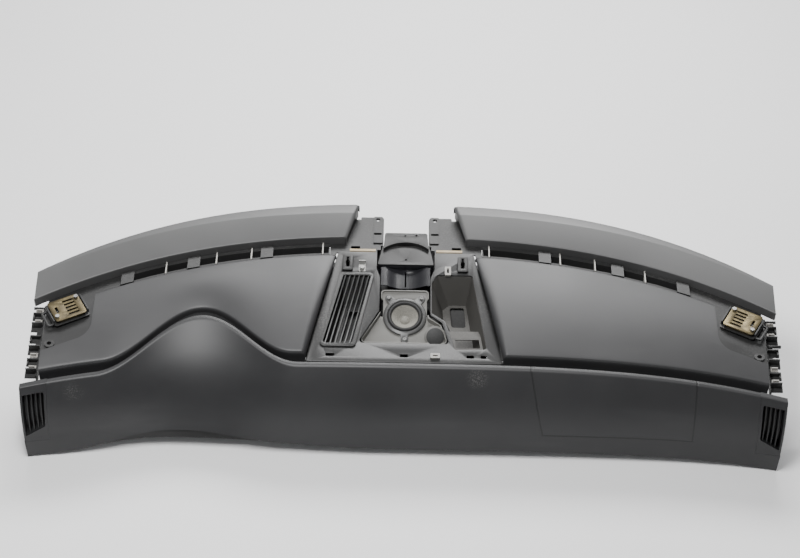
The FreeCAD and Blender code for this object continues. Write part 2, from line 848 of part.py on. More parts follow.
def carrier():
    wires = []
    for x in stations(-pad_end, pad_end):
        path = carrier_path(x)
        depths = carrier_depths()
        outer = parallel(path, depths)
        inner = parallel(path, [depth + carrier_wall for depth in depths])
        wires.append(ring_wire(outer, inner, upright(x)))
    body = loft(wires)
    places = [x for x in stations(-pad_end, pad_end) if abs(x) < web_reach]
    sides = [x for x in places if abs(x) > deck_inner_front + deck_roll]
    webs = [deck_web(x) for x in sides[:8:2] + sides[8:]]
    webs += [face_web(x) for x in places[:9:2] + places[10:] if not seam_x0 < x < seam_x1]
    bosses = [well_boss(x, y) for x, y in well_bosses()]
    ends = [end_boss(side) for side in (-1, 1)]
    body = body.cut(prism(well_hole(), far_low, far_high))
    rear = trim_rear(0)[0] + 40
    foot = trim_foot(0)[0] - 1
    end_front, end_rear = trim_inner_front + trim_roll + 14, trim_inner_rear + trim_roll + 8
    body = body.cut(box(-tab_outer, tab_outer, well_end + 23, rear, far_low, far_high))
    body = body.cut(prism([(-end_front, foot, 0), (end_front, foot, 0), (end_rear, rear, 0),
                           (-end_rear, rear, 0)], far_low, far_high))
    body = body.cut(box(-module_half - 2, module_half + 2, well_end - 43, rear, far_low, far_high))
    cuts = []
    for side in (-1, 1):
        cuts.append(bar(side * duct_x0, side * duct_x1, lambda x: duct_sides(x)[0] - 2.2,
                        lambda x: duct_sides(x)[1] + 2.2, lambda x: slot_floor(x) - 8,
                        lambda x: slot_floor(x) + 4))
        cuts.append(box_at(side, module_half + 6, trim_inner_front - 8, well_end + 17, well_end + 29,
                           slot_floor(0) - 20, slot_floor(0) + 20))
        cuts.append(rod(end_hole_radius, Vector(side * end_hole_x, end_hole_y, far_low), Vector(0, 0, 1),
                        far_high - far_low))
        cuts.append(box_at(side, vent_x - 8, pad_end + 20, far_front, front_line(vent_x)[3][0] + 6,
                           vent_low - 3, far_high))
    cuts.append(chute_box(0, -60, 80))
    body = fuse([body] + webs + bosses + ends)
    for cut in cuts:
        body = body.cut(cut)
    return fuse([body, carrier_tab(-1), carrier_tab(1)])


# Demister ducts, their fins, retainers and seals

def demister_duct(side):
    wires = []
    for x in side_stations(side, duct_x0 + 1, duct_x1 - 1):
        a, b = duct_sides(x)
        z = slot_floor(x) + seat_gap
        t = duct_wall
        low = z - duct_drop
        outer = [(a - duct_flange, z, 0), (a, z, 0), (a + 2, low, 0), (b - 2, low, 0), (b, z, 0),
                 (b + duct_flange, z, 0)]
        inner = [(a - duct_flange, z + t, 0), (a + t, z + t, 0), (a + 2 + t, low + t, 0),
                 (b - 2 - t, low + t, 0), (b - t, z + t, 0), (b + duct_flange, z + t, 0)]
        wires.append(ring_wire(outer, inner, upright(side * x)))
    duct = loft(wires)
    ends = [duct_plug(side * x, side * duct_wall) for x in (duct_x0 + 1, duct_x1 - 1 - duct_wall)]
    middle = (duct_x0 + duct_x1) / 2
    a, b = duct_sides(middle)
    low = slot_floor(middle) - duct_drop
    inlet = box_at(side, middle - 35, middle + 35, a + 9, b - 9, low - 10, low + 8)
    return fuse([duct] + ends).cut(inlet)


def duct_plug(x, wall):
    """End wall of a duct."""
    a, b = duct_sides(x)
    z = slot_floor(x) + seat_gap
    low = z - duct_drop
    corners = [(a + 0.5, z), (a + 2.5, low + 1), (b - 2.5, low + 1), (b - 0.5, z), (a + 0.5, z)]
    return Part.Face(Part.makePolygon([Vector(x, y, h) for y, h in corners])).extrude(Vector(wall, 0, 0))


def demister_fins(side):
    """Light fins that divide the duct and bridge its two flanges."""
    fins = []
    for x in fin_places:
        a, b = duct_sides(x)
        z = slot_floor(x) + 3 * seat_gap + duct_wall
        stem = box(x, x + fin_wall, a + duct_wall + 3, b - duct_wall - 3, z - 16, z + 1)
        head = box(x, x + fin_wall, a - duct_flange + 1, b + duct_flange - 1.5, z, z + 4)
        fins.append(both_sides(side, stem.fuse(head).removeSplitter()))
    return group(fins)


def trim_retainers(side):
    """Dark blocks that clip the trim's foot to the carrier across the slot."""
    blocks = []
    for x in retainer_places:
        z = slot_floor(x) + 2 * seat_gap + duct_wall
        block = bar(side * x, side * (x + retainer_length), lambda at: deck_rear(at)[0] + 1.5,
                    lambda at: trim_foot(at)[0] - 2.6, lambda at: z, lambda at: z + 5)
        blocks.append(block)
    return group(blocks)


def foam_seal(side):
    """Foam strip in front of the demister slot beside the display."""
    floor = slot_floor(0) + seat_gap
    low, high = well_end + 11, well_end + 17 - seat_gap
    x0, x1 = module_half + 5, trim_inner_front - 6
    return both_sides(side, box(x0, x1, low, high, floor, floor + 4))


def airbag_chute():
    """Tunnel behind the tear line, with a flange that follows the carrier's back."""
    depth = pad_wall + carrier_wall + 2 * seat_gap
    x0, x1 = seam_x0 - 10, seam_x1 + 10
    tube = chute_box(0, -60, 160).cut(chute_box(-chute_wall, -70, 170))
    tube = tube.common(face_layer(x0, x1, depth, depth + chute_depth, True))
    window = chute_box(12, -60, 160).cut(chute_box(-chute_wall, -70, 170))
    flange = face_layer(x0, x1, depth, depth + chute_wall, True).common(window)
    return fuse([tube, flange])


# Centre well

def well_corners(points, radius):
    return [(x, along(y), radius) for x, y in points]


def grille_corners(grow):
    """Corners in plan of the slatted outlet, left of the speaker."""
    return [(grille_front_x0 - grow, grille_front_y - grow), (grille_front_x1 + grow, grille_front_y - grow),
            (grille_rear_x1 + grow, grille_rear_y + grow), (grille_rear_x0 - grow, grille_rear_y + grow)]


def recess_corners(grow):
    """Corners in plan of the open duct, right of the speaker."""
    near, rear = well_near + 26, well_end - 44
    return [(95 - grow, near - grow), (158 + grow, near + 2 - grow), (131 + grow, rear + grow),
            (62 - grow, rear + grow), (51 - grow, rear - 21), (52 - grow, speaker_y - 1),
            (78 - grow, speaker_y - 19), (93 - grow, near + 17)]


def core_corners(grow):
    """Corners in plan of the opening for the speaker, the cowl and the display housing."""
    left = module_half + 2
    near, widens, wide, rear = well_near + 39, well_end - 53, well_end - 31, well_end + 37
    return [(-90 - grow, near - grow), (86 + grow, near - grow), (72 + grow, speaker_y - 23 + grow * 0.4),
            (49 + grow, speaker_y - 5 + grow), (49 + grow, widens), (left, wide), (left, rear),
            (-left, rear), (-left, wide), (-50 - grow, widens), (-50 - grow, speaker_y + 4)]


def well_frame():
    """Sloping frame between the deck pads: plate, skirts, flanges, clip pads and front rail."""
    front, rear = crest_back + valley_width - 5, crest_back + valley_width + deck_depth + 9
    left_front, left_rear = inner_edge(front) - 1, inner_edge(rear) - 1
    plate = prism(well_corners([(-left_front, front), (left_front, front), (left_rear, rear),
                                (-left_rear, rear)], 3), -well_wall, 0)
    parts = [plate]
    for side in (-1, 1):
        y0, y1 = front + 11, rear - 12
        x0, x1 = inner_edge(y0) - 1, inner_edge(y1) - 1
        wall = [(x0, y0), (x1, y1), (x1 - 2.2, y1), (x0 - 2.2, y0)]
        parts.append(both_sides(side, prism(well_corners(wall, 0), -well_skirt, -1)))
        reach = deck_roll + 2 * boss_radius + 6
        flange = [(x0 - 2, y0 + 6), (x0 + reach, y0 + 6), (x1 + reach, y1 - 6), (x1 - 2, y1 - 6)]
        parts.append(both_sides(side, prism(well_corners(flange, 4), -well_skirt, well_flange - well_skirt)))
    y0 = front + 11
    parts.append(box(2 - inner_edge(y0), inner_edge(y0) - 2, along(y0), along(y0) + 2.2, -well_skirt, -1))
    body = on_well(fuse(parts))
    foot_top = well_height + well_slope * (front + 6 - well_front) - 1
    foot = box(-left_front + 20, left_front - 20, front + 4, front + 8, valley_floor(0) + seat_gap, foot_top)
    body = fuse([body, foot])
    for corners in (core_corners(0), grille_corners(0), recess_corners(0)):
        body = body.cut(on_well(prism(well_corners(corners, 6), -well_wall - 1, 5)))
    low, high = along(well_near + 7), along(well_near + 14)
    for x, length in rail_slots:
        slot = prism([(x, low, 1.5), (x + length, low, 1.5), (x + length, high, 1.5), (x, high, 1.5)], -5, 5)
        body = body.cut(on_well(slot))
    for x in socket_places:
        y0, y1 = well_end - 31, well_end - 9
        body = body.cut(on_well(prism(well_corners([(x - 3, y0), (x + 3, y0), (x + 3, y1), (x - 3, y1)],
                                                   2), -5, 5)))
    for x, y in well_bosses():
        body = body.cut(on_well(rod(2.2, Vector(x, along(y), -well_skirt - 5), Vector(0, 0, 1), 12)))
    return body


def outlet_grille():
    """Rounded frame with slats that run along its slanting sides."""
    rim = prism(well_corners(grille_corners(3), 9), seat_gap, seat_gap + 2.5)
    wall = prism(well_corners(grille_corners(-seat_gap), 7), -2.9, seat_gap + 2)
    hole = prism(well_corners(grille_corners(-3.5), 5), -20, 20)
    parts = [rim.fuse(wall).cut(hole)]
    front0, front1 = grille_front_x0 - 1, grille_front_x1 + 1
    rear0, rear1 = grille_rear_x0 - 1, grille_rear_x1 + 1
    for i in range(1, slat_count + 1):
        share = i / (slat_count + 1)
        fx = front0 + (front1 - front0) * share
        rx = rear0 + (rear1 - rear0) * share
        half = slat_wall / 2
        slat = [(fx - half, grille_front_y + 2.5), (fx + half, grille_front_y + 2.5),
                (rx + half, grille_rear_y - 2.5), (rx - half, grille_rear_y - 2.5)]
        parts.append(prism(well_corners(slat, 0), -5, 1.5))
    return on_well(fuse(parts))


def hopper(top, bottom, depth, wall):
    """Open box whose walls lean in from a top outline to a smaller bottom outline."""
    def shell(grow, z0, z1):
        wires = []
        for corners, z in ((top(grow), z0), (bottom(grow), z1)):
            points = [Vector(x, along(y), z) for x, y in corners]
            wires.append(Part.makePolygon(points + points[:1]))
        return loft(wires)
    start = -well_wall - 2 * seat_gap
    return shell(0, start, start - depth).cut(shell(-wall, start + 1, start - depth + wall))


def outlet_box():
    """Air box under the slatted outlet."""
    def top(grow):
        return grille_corners(2 + grow)
    def bottom(grow):
        x0, y0 = grille_front_x0 + 20, grille_front_y + 25
        y1 = grille_rear_y - 38
        return [(x0 - grow, y0 - grow), (x0 + 42 + grow, y0 - grow), (x0 + 62 + grow, y1 + grow),
                (x0 + 20 - grow, y1 + grow)]
    body = hopper(top, bottom, 42, 2.0)
    x0, y0, y1 = grille_front_x0 + 34, grille_front_y + 40, grille_rear_y - 58
    inlet = prism(well_corners([(x0, y0), (x0 + 26, y0), (x0 + 40, y1), (x0 + 14, y1)], 5), -60, -30)
    return on_well(body.cut(inlet))


def duct_recess():
    """Open air duct at the right: leaning walls, a pale shelf and a slot in its front pocket."""
    def top(grow):
        return recess_corners(2 + grow)
    near, rear = well_near + 43, well_end - 73
    def bottom(grow):
        return [(98 - grow, near - grow), (140 + grow, near + 2 - grow), (122 + grow, rear + grow),
                (84 - grow, rear + grow), (72 - grow, rear - 15), (74 - grow, speaker_y + 14),
                (88 - grow, speaker_y - 3), (96 - grow, near + 20)]
    body = hopper(top, bottom, recess_depth, 2.2)
    y0, y1, y2 = near - 10, near + 20, near + 44
    shelf = prism(well_corners([(92, y0), (152, y0 + 2), (147, y1 + 2), (80, y1)], 0), -16, -13.8)
    ramp = prism(well_corners([(76, y1 - 2), (148, y1), (144, y2), (70, y2)], 0), -2, 0)
    ramp.rotate(Vector(110, along(y1), 0), Vector(1, 0, 0), -22)
    ramp.translate(Vector(0, 0, -14))
    inside = hopper_core(top, bottom, recess_depth, 1.2)
    body = fuse([body, shelf.common(inside), ramp.common(inside)])
    slot = prism(well_corners([(100, y0 + 6), (146, y0 + 7), (143, y1 - 3), (97, y1 - 4)], 2), -20, -10)
    y0, y1 = near + 75, rear - 8
    inlet = prism(well_corners([(92, y0), (120, y0), (116, y1), (88, y1)], 5), -recess_depth - 20,
                  -recess_depth + 5)
    return on_well(body.cut(slot).cut(inlet))


def hopper_core(top, bottom, depth, wall):
    """Space inside a hopper, for what spans it."""
    wires = []
    start = -well_wall - seat_gap
    for corners, z in ((top(-wall), start), (bottom(-wall), start - depth)):
        points = [Vector(x, along(y), z) for x, y in corners]
        wires.append(Part.makePolygon(points + points[:1]))
    return loft(wires)


# Speaker and its baffle

def on_baffle(shape):
    placed = shape.copy()
    placed.Placement = FreeCAD.Placement(Vector(0, speaker_y, speaker_z),
                                         FreeCAD.Rotation(Vector(1, 0, 0), speaker_tilt))
    return placed


def up_baffle(y):
    return (y - speaker_y) / math.cos(math.radians(speaker_tilt))


def ear_places():
    """Centres of the speaker's three fixing ears."""
    return [(ear_reach * math.cos(math.radians(a)), ear_reach * math.sin(math.radians(a)))
            for a in ear_angles]


def baffle_corners(grow):
    near, rear = well_near + 42, speaker_y + 56
    return [(-88 - grow, near - grow), (84 + grow, near - grow), (70 + grow, speaker_y - 25),
            (46 + grow, speaker_y - 7 + grow), (46 + grow, rear + grow), (-47 - grow, rear + grow),
            (-47 - grow, speaker_y + 6)]


def speaker_baffle():
    """Grey plate under the well, with the speaker's hole, side walls and the sensor's dome."""
    below = on_baffle(box(-200, 200, -200, 200, -90, -2.5))
    above = on_well(box(-200, 200, -100, 300, -well_wall - seat_gap, 120))
    low, high = speaker_z - 46.5, speaker_z + 38.5
    tray = prism([(x, y, 8) for x, y in baffle_corners(0)], low, high).cut(below).cut(above)
    room = prism([(x, y, 6) for x, y in baffle_corners(-2.2)], low - 10, high + 10)
    room = room.cut(on_baffle(box(-200, 200, -200, 200, -90, 0)))
    dome = rod(dome_radius, disc_centre() - disc_axis() * 22, disc_axis(), 20)
    baffle = fuse([tray.cut(room), dome.cut(below)])
    baffle = baffle.cut(on_baffle(rod(surround_radius + 3.5, Vector(0, 0, -20), Vector(0, 0, 1), 40)))
    for x, y in ear_places():
        baffle = baffle.cut(on_baffle(rod(1.8, Vector(x, y, -20), Vector(0, 0, 1), 40)))
    baffle = baffle.cut(on_baffle(rod(3.0, Vector(28, up_baffle(disc_y - 12), -20), Vector(0, 0, 1), 40)))
    for side in (-1, 1):
        slot = box(side * 45 - 2.5, side * 45 + 2.5, 0, 38, -20, 20)
        baffle = baffle.cut(on_baffle(slot))
    baffle = baffle.cut(rod(disc_radius + 0.8, disc_centre() - disc_axis() * 1.9, disc_axis(), 30))
    return baffle.cut(rod(dome_radius - 2.5, disc_centre() - disc_axis() * 30, disc_axis(), 26))


def disc_centre():
    return Vector(disc_x, disc_y, disc_z)


def disc_axis():
    angle = math.radians(disc_tilt)
    return Vector(0, -math.sin(angle), math.cos(angle))


def blanking_disc():
    return rod(disc_radius, disc_centre() - disc_axis() * (2 - seat_gap), disc_axis(), 2.5)


def revolve(points):
    """Turn a closed outline, given as (radius, height), about the speaker's axis."""
    outline = [Vector(r, 0, z) for r, z in points]
    face = Part.Face(Part.makePolygon(outline + outline[:1]))
    return face.revolve(Vector(0, 0, 0), Vector(0, 0, 1), 360)


def speaker_basket():
    """Pressed frame: flange with three ears, ribs with windows and the back plate."""
    rim = seat_gap
    outer, inner = speaker_radius, surround_radius
    depth = basket_depth
    body = revolve([(inner - 1, rim), (outer, rim), (outer, rim + 2), (outer - 3, rim + 3.5),
                    (inner + 2, rim + 3.5), (inner + 1, rim + 1.5), (inner - 1, rim + 1.5)])
    funnel = revolve([(inner + 1, rim + 1), (inner - 1, rim + 1), (21, -depth + 2), (8, -depth + 2),
                      (8, -depth), (22.5, -depth)])
    for i in range(window_count):
        window = box(14, 40, -6, 6, -depth + 6, -5)
        window.rotate(Vector(0, 0, 0), Vector(0, 0, 1), 360 / window_count * i)
        funnel = funnel.cut(window)
    parts = [body, funnel]
    for x, y in ear_places():
        ear = rod(7.0, Vector(x, y, rim), Vector(0, 0, 1), 2.5)
        run = math.hypot(x, y)
        web = box(outer - 6, run, -7, 7, rim, rim + 2.5)
        web.rotate(Vector(0, 0, 0), Vector(0, 0, 1), math.degrees(math.atan2(y, x)))
        parts += [ear, web]
    body = fuse(parts)
    for x, y in ear_places():
        body = body.cut(rod(screw_radius - 1.2, Vector(x, y, -5), Vector(0, 0, 1), 20))
    return on_baffle(body)


def speaker_surround():
    """Half-round rubber edge between the basket and the cone."""
    base = seat_gap + 1.5 + seat_gap
    outer, inner = surround_radius, cone_radius
    middle, half = (outer + inner) / 2, (outer - inner) / 2
    points = [(outer + 0.6, base), (outer + 0.6, base + 1)]
    points += [(middle + half * math.cos(a), base + 1 + half * math.sin(a))
               for a in (0.6, 1.2, math.pi - 1.2, math.pi - 0.6)]
    points += [(inner - 1, base + 1), (inner - 1, base), (inner, base)]
    points += [(middle + (half - 1) * math.cos(a), base + (half - 0.4) * math.sin(a))
               for a in (math.pi - 0.7, math.pi / 2, 0.7)]
    return on_baffle(revolve(points))


def speaker_cone():
    base = seat_gap + 1.5
    return on_baffle(revolve([(cone_radius - 0.5, base), (cone_radius + 0.3, base), (dust_radius, base - 14),
                              (dust_radius - 3, base - 14), (dust_radius - 3, base - 13),
                              (dust_radius - 0.6, base - 13)]))


def speaker_dust_cap():
    base = seat_gap + 1.5 - 13 + seat_gap
    radius = dust_radius - 1.2
    ball = Part.makeSphere(radius * 1.25, Vector(0, 0, base - radius * 0.75))
    return on_baffle(ball.common(rod(radius, Vector(0, 0, base), Vector(0, 0, 1), 20)))


def speaker_magnet():
    top = -basket_depth - seat_gap
    plate = rod(magnet_radius - 1, Vector(0, 0, top - 3), Vector(0, 0, 1), 3)
    ring = rod(magnet_radius, Vector(0, 0, top - 3 - magnet_height), Vector(0, 0, 1), magnet_height)
    return on_baffle(fuse([plate, ring]))


def pan_head(x, y, z, radius):
    """Cross-slotted screw with a domed head and a plain shank."""
    head = rod(radius, Vector(x, y, z), Vector(0, 0, 1), 2.2)
    shank = rod(radius - 2.2, Vector(x, y, z - 9), Vector(0, 0, 1), 9)
    screw = head.fuse(shank)
    for cross in (box(x - 1.8, x + 1.8, y - 0.4, y + 0.4, z + 1.2, z + 3),
                  box(x - 0.4, x + 0.4, y - 1.8, y + 1.8, z + 1.2, z + 3)):
        screw = screw.cut(cross)
    return screw.removeSplitter()


def speaker_screws():
    top = 2 * seat_gap + 2.5
    return on_baffle(group([pan_head(x, y, top, screw_radius) for x, y in ear_places()]))


# Cowl and display housing

def speaker_cowl():
    """Glossy sheet between the speaker and the display housing, hollowed along its middle."""
    half = module_half - 7
    rise = seat_gap
    y0, y1 = cowl_front, module_front - 2
    top = [(-half, rise, 0), (-half + 8, rise, 0), (0, rise - cowl_sag * 2, 0), (half - 8, rise, 0),
           (half, rise, 0)]
    top = bow(top, 2, 0.7)
    low = [(x, z - 2.0, radius) for x, z, radius in top]
    low = [(x, z, 0 if radius == 0 else radius + 2) for x, z, radius in low]
    wires = [ring_wire(top, low, (lambda v: lambda x, z: Vector(x, v, z + 2.0))(along(y))) for y in (y0, y1)]
    sheet = loft(wires)
    slit = box(-1.4, 1.4, along(y0 + 4), along(y1 - 4), -60, 20)
    return on_well(sheet.cut(slit))


def module_outline(grow, front, rear):
    half_rear = module_half - 9
    return [(-module_half - grow, front - grow, 2), (module_half + grow, front - grow, 2),
            (half_rear + grow, rear + grow, 3), (-half_rear - grow, rear + grow, 3)]


def display_housing():
    """Box that carried the centre display, open at the front for its connector."""
    body = prism(module_outline(0, module_front, module_rear), module_top - module_height, module_top - 3.3)
    room = prism(module_outline(-2.5, module_front, module_rear), module_top - module_height + 2.5,
                 module_top)
    slot = box(-22, 22, module_front + 10, module_front + 38, module_top - module_height - 5,
               module_top - module_height + 5)
    groove = box(-module_half - 1, module_half + 1, module_front - 1, module_front + 1.2,
                 module_top - 14, module_top - 12)
    return body.cut(room).cut(slot).cut(groove)


def display_cover():
    """Lid of the housing with an arched step and the raised rear flange."""
    top = module_top
    lid = prism(module_outline(0, module_front, module_rear), top - 3, top)
    step = rod(module_arch, Vector(0, module_rear - module_arch + 2, top - 3), Vector(0, 0, 1), 11)
    band = prism([(-module_half + 10, module_rear - 20, 0), (module_half - 10, module_rear - 20, 0),
                  (module_half - 13, flange_rear, 5), (-module_half + 13, flange_rear, 5)], top - 3, top + 8)
    raised = band.cut(step)
    under = prism([(-module_half + 14, module_rear - 30, 0), (module_half - 14, module_rear - 30, 0),
                   (module_half - 16, flange_rear - 3, 4), (-module_half + 16, flange_rear - 3, 4)],
                  top - 4, top + 5).cut(rod(module_arch + 3, Vector(0, module_rear - module_arch + 2, top - 5),
                                            Vector(0, 0, 1), 20))
    cover = fuse([lid, raised.cut(under)])
    for x, y, radius in ((0, module_front + 14, 2.2), (-2, flange_rear - 8, 2.0), (20, flange_rear - 7, 2.2)):
        cover = cover.cut(rod(radius, Vector(x, y, top - 10), Vector(0, 0, 1), 30))
    return cover


# Clips, sockets and small brackets of the well

def clip_sockets():
    """Key-hole sockets for the missing centre cover."""
    sockets = []
    y0, y1 = well_end - 39, well_end - 3
    for x in socket_places:
        block = prism(well_corners([(x - 10, y0), (x + 10, y0), (x + 10, y1), (x - 10, y1)], 3),
                      seat_gap, seat_gap + 6)
        throat = prism(well_corners([(x - 4, y0 + 7), (x + 4, y0 + 7), (x + 4, y1 - 14), (x - 4, y1 - 14)],
                                    2), -5, 20)
        key = prism(well_corners([(x - 2.2, y0 + 16), (x + 2.2, y0 + 16), (x + 2.2, y1 - 5),
                                  (x - 2.2, y1 - 5)], 1), -5, 20)
        sockets.append(on_well(block.cut(throat).cut(key)))
    return group(sockets)


def loop_clip(x, y, width, length, height):
    """Spring clip bent from one strip: a rectangular loop with a slit."""
    frame = prism(well_corners([(x - width / 2, y - length / 2), (x + width / 2, y - length / 2),
                                (x + width / 2, y + length / 2), (x - width / 2, y + length / 2)], 2),
                  seat_gap, seat_gap + height)
    slit = prism(well_corners([(x - width / 2 + 4, y - length / 2 + 4), (x + width / 2 - 4, y - length / 2 + 4),
                               (x + width / 2 - 4, y + length / 2 - 4),
                               (x - width / 2 + 4, y + length / 2 - 4)], 1), -5, 20)
    return on_well(frame.cut(slit))


def strap_bracket():
    """Small bent strap with its bolt, beside the left socket."""
    y0, y1 = well_end - 40, well_end - 16
    x0, x1 = strap_x - 6.5, strap_x + 6.5
    foot = prism(well_corners([(x0, y0), (x1, y0), (x1, y1), (x0, y1)], 3), seat_gap, seat_gap + 1.5)
    lip = prism(well_corners([(x0, y1 - 2), (x1, y1 - 2), (x1, y1), (x0, y1)], 0), seat_gap, seat_gap + 7)
    hole = rod(2.6, Vector(strap_x, along(strap_y), -5), Vector(0, 0, 1), 20)
    return on_well(fuse([foot, lip]).cut(hole))


def strap_bolt():
    """Hexagon bolt of the strap."""
    corners = [(strap_x + 5 * math.cos(math.pi / 3 * i), along(strap_y) + 5 * math.sin(math.pi / 3 * i), 0)
               for i in range(6)]
    head = prism(corners, 2 * seat_gap + 1.5, 2 * seat_gap + 5.5)
    return on_well(head)


# Ends: slotted brackets, their blocks, bolts and the side rails

def bracket_frame(side):
    """Placement of an end bracket: over the carrier's floor, in line with the trim's foot."""
    angle = math.degrees(math.atan(2.5 * deck_wrap / half_width * (bracket_x / half_width) ** 1.5))
    z = deck_top(bracket_x, bracket_y) - pad_wall
    place = FreeCAD.Placement(Vector(side * bracket_x, bracket_y, z), FreeCAD.Rotation(Vector(0, 0, 1),
                                                                                      -side * angle))
    slope = FreeCAD.Placement(Vector(0, 0, 0), FreeCAD.Rotation(Vector(0, 1, 0), side * 1.0))
    return place.multiply(slope)


def set_at(shape, placement):
    placed = shape.copy()
    placed.Placement = placement
    return placed


def end_bracket(side):
    """Pressed steel plate with five slots, a window and two folded feet."""
    half, deep = bracket_width / 2, bracket_depth / 2
    z = bracket_lift
    plate = prism([(-half, -deep, 5), (half, -deep, 5), (half, deep, 5), (-half, deep, 5)], z, z + 1.8)
    feet = [box(-half + 8, half - 8, y, y + 1.8, seat_gap + 3.2, z + 1) for y in (-deep + 2, deep - 4)]
    body = fuse([plate] + feet)
    for i in range(5):
        y = -deep + 10 + (bracket_depth - 20) / 4 * i
        slot = prism([(-half + 12, y - 2, 1.9), (-half + 34, y - 2, 1.9), (-half + 34, y + 2, 1.9),
                      (-half + 12, y + 2, 1.9)], z - 2, z + 4)
        body = body.cut(slot)
    body = body.cut(box(half - 14, half - 9, -6, 10, z - 2, z + 4))
    if side < 0:
        body = mirrored(body)
    return set_at(body, bracket_frame(side))


def bracket_block(side):
    """Black moulded block under the bracket, with upstands and a corner loop."""
    half, deep = bracket_width / 2 + 5, bracket_depth / 2 + 3
    base = prism([(-half, -deep, 6), (half, -deep, 6), (half, deep, 6), (-half, deep, 6)], block_lift, 3.2)
    walls = [box(-half, -half + 3, -deep + 8, deep - 8, 2, bracket_lift + 3),
             box(half - 3, half, -deep + 8, deep - 8, 2, bracket_lift + 1)]
    walls += [box(-half + 1, half - 1, -2, 1, 2, bracket_lift - seat_gap)]
    loop = prism([(half - 1, -deep + 4, 5), (half + 13, -deep + 4, 5), (half + 13, deep - 16, 6),
                  (half - 1, deep - 16, 5)], block_lift, 5)
    loop = loop.cut(prism([(half + 2, -deep + 8, 3), (half + 9.5, -deep + 8, 3), (half + 9.5, deep - 20, 3),
                           (half + 2, deep - 20, 3)], -5, 10))
    body = fuse([base, loop] + walls)
    if side < 0:
        body = mirrored(body)
    return set_at(body, bracket_frame(side))


def bracket_bolts(side):
    """Hexagon bolts at the bracket's inner edge and outer corner."""
    half, deep = bracket_width / 2, bracket_depth / 2
    bolts = []
    for x, y in ((-half + 5, deep - 9), (half - 6, -deep + 12)):
        corners = [(x + 4.5 * math.cos(math.pi / 3 * i), y + 4.5 * math.sin(math.pi / 3 * i), 0)
                   for i in range(6)]
        z = bracket_lift + 1.8 + seat_gap
        bolts.append(prism(corners, z, z + 3.5))
    body = group(bolts)
    if side < 0:
        body = mirrored(body)
    return set_at(body, bracket_frame(side))


def rail_height(y):
    """Floor of the side rails, between the crest and the windscreen trim."""
    share = (y - rail_front) / (rail_rear - rail_front)
    return rail_low + (rail_high - rail_low) * share


def end_rail(side):
    """Toothed rail along the open end, which the side cover clips to."""
    profile = [(rail_front, -16), (rail_front, 4), (rail_rear, 4), (rail_rear, -12)]
    points = [Vector(rail_x, y, rail_height(y) + dz) for y, dz in profile]
    wall = Part.Face(Part.makePolygon(points + points[:1])).extrude(Vector(3, 0, 0))
    profile = [(rail_front, -3), (rail_front, 0), (rail_rear, 0), (rail_rear, -3)]
    points = [Vector(rail_x, y, rail_height(y) + dz) for y, dz in profile]
    floor = Part.Face(Part.makePolygon(points + points[:1])).extrude(Vector(rail_width, 0, 0))
    parts = [wall, floor]
    count = int((rail_rear - rail_front) / rail_pitch)
    for i in range(count):
        y = rail_front + 8 + rail_pitch * i
        z = rail_height(y)
        tall = 9 if i % 2 else 14
        parts.append(box(rail_x + 1, rail_x + rail_width - 2, y, y + 2.5, z - 4, z + tall))
        if i % 2:
            parts.append(box(rail_x + rail_width - 5, rail_x + rail_width - 2, y - 10, y + 2, z - 2, z + 6))
    body = fuse(parts)
    for i in range(count):
        y = rail_front + 18 + rail_pitch * i
        z = rail_height(y)
        body = body.cut(box(rail_x + rail_width - 12, rail_x + rail_width + 3, y, y + 8, z - 10, z + 1.5))
    return both_sides(side, body)


def rail_clips(side):
    """Pale spring clips pressed on the rail's floor."""
    clips = []
    for y in clip_places:
        z = rail_height(y + 12) + seat_gap
        base = box(rail_x + 4, rail_x + 18.5, y, y + 12, z, z + 1.2)
        tongue = box(rail_x + 6, rail_x + 17, y + 3, y + 5, z, z + 8)
        clips.append(both_sides(side, base.fuse(tongue).removeSplitter()))
    return group(clips)


def locating_pin():
    """Pin on the right end, which finds its hole in the body side."""
    x = rail_x + rail_width - 6
    z = rail_height(pin_y) + 7
    shaft = rod(3.2, Vector(x - 14, pin_y, z), Vector(1, 0, 0), half_width - x + 11)
    foot = box(x - 14, x - 8, pin_y - 4, pin_y + 4, rail_height(pin_y) + seat_gap + 1, z + 1)
    return fuse([shaft, foot])


pieces = {}


def build_skins():
    pieces["front_pad"] = front_pad()
    for side, name in ((-1, "left"), (1, "right")):
        pieces["deck_pad_" + name] = deck_pad(side)
        pieces["windscreen_trim_" + name] = windscreen_trim(side)
        pieces["side_vent_" + name] = side_vent(side)
        pieces["vent_vanes_" + name] = vent_vanes(side)


def build_structure():
    pieces["carrier"] = carrier()
    pieces["airbag_chute"] = airbag_chute()
    for side, name in ((-1, "left"), (1, "right")):
        pieces["demister_duct_" + name] = demister_duct(side)
        pieces["demister_fins_" + name] = demister_fins(side)
        pieces["trim_retainers_" + name] = trim_retainers(side)
        pieces["foam_seal_" + name] = foam_seal(side)


def build_well():
    pieces["well_frame"] = well_frame()
    pieces["outlet_grille"] = outlet_grille()
    pieces["outlet_box"] = outlet_box()
    pieces["duct_recess"] = duct_recess()
    pieces["speaker_baffle"] = speaker_baffle()
    pieces["speaker_basket"] = speaker_basket()
    pieces["speaker_surround"] = speaker_surround()
    pieces["speaker_cone"] = speaker_cone()
    pieces["speaker_dust_cap"] = speaker_dust_cap()
    pieces["speaker_magnet"] = speaker_magnet()
    pieces["speaker_screws"] = speaker_screws()
    pieces["blanking_disc"] = blanking_disc()
    pieces["speaker_cowl"] = speaker_cowl()
    pieces["display_housing"] = display_housing()
    pieces["display_cover"] = display_cover()
    pieces["clip_sockets"] = clip_sockets()
    pieces["upper_clip"] = loop_clip(83, well_end - 37, 12, 20, 5)
    pieces["lower_clip"] = loop_clip(59, well_near + 9, 18, 11, 5)
    pieces["strap_bracket"] = strap_bracket()
    pieces["strap_bolt"] = strap_bolt()


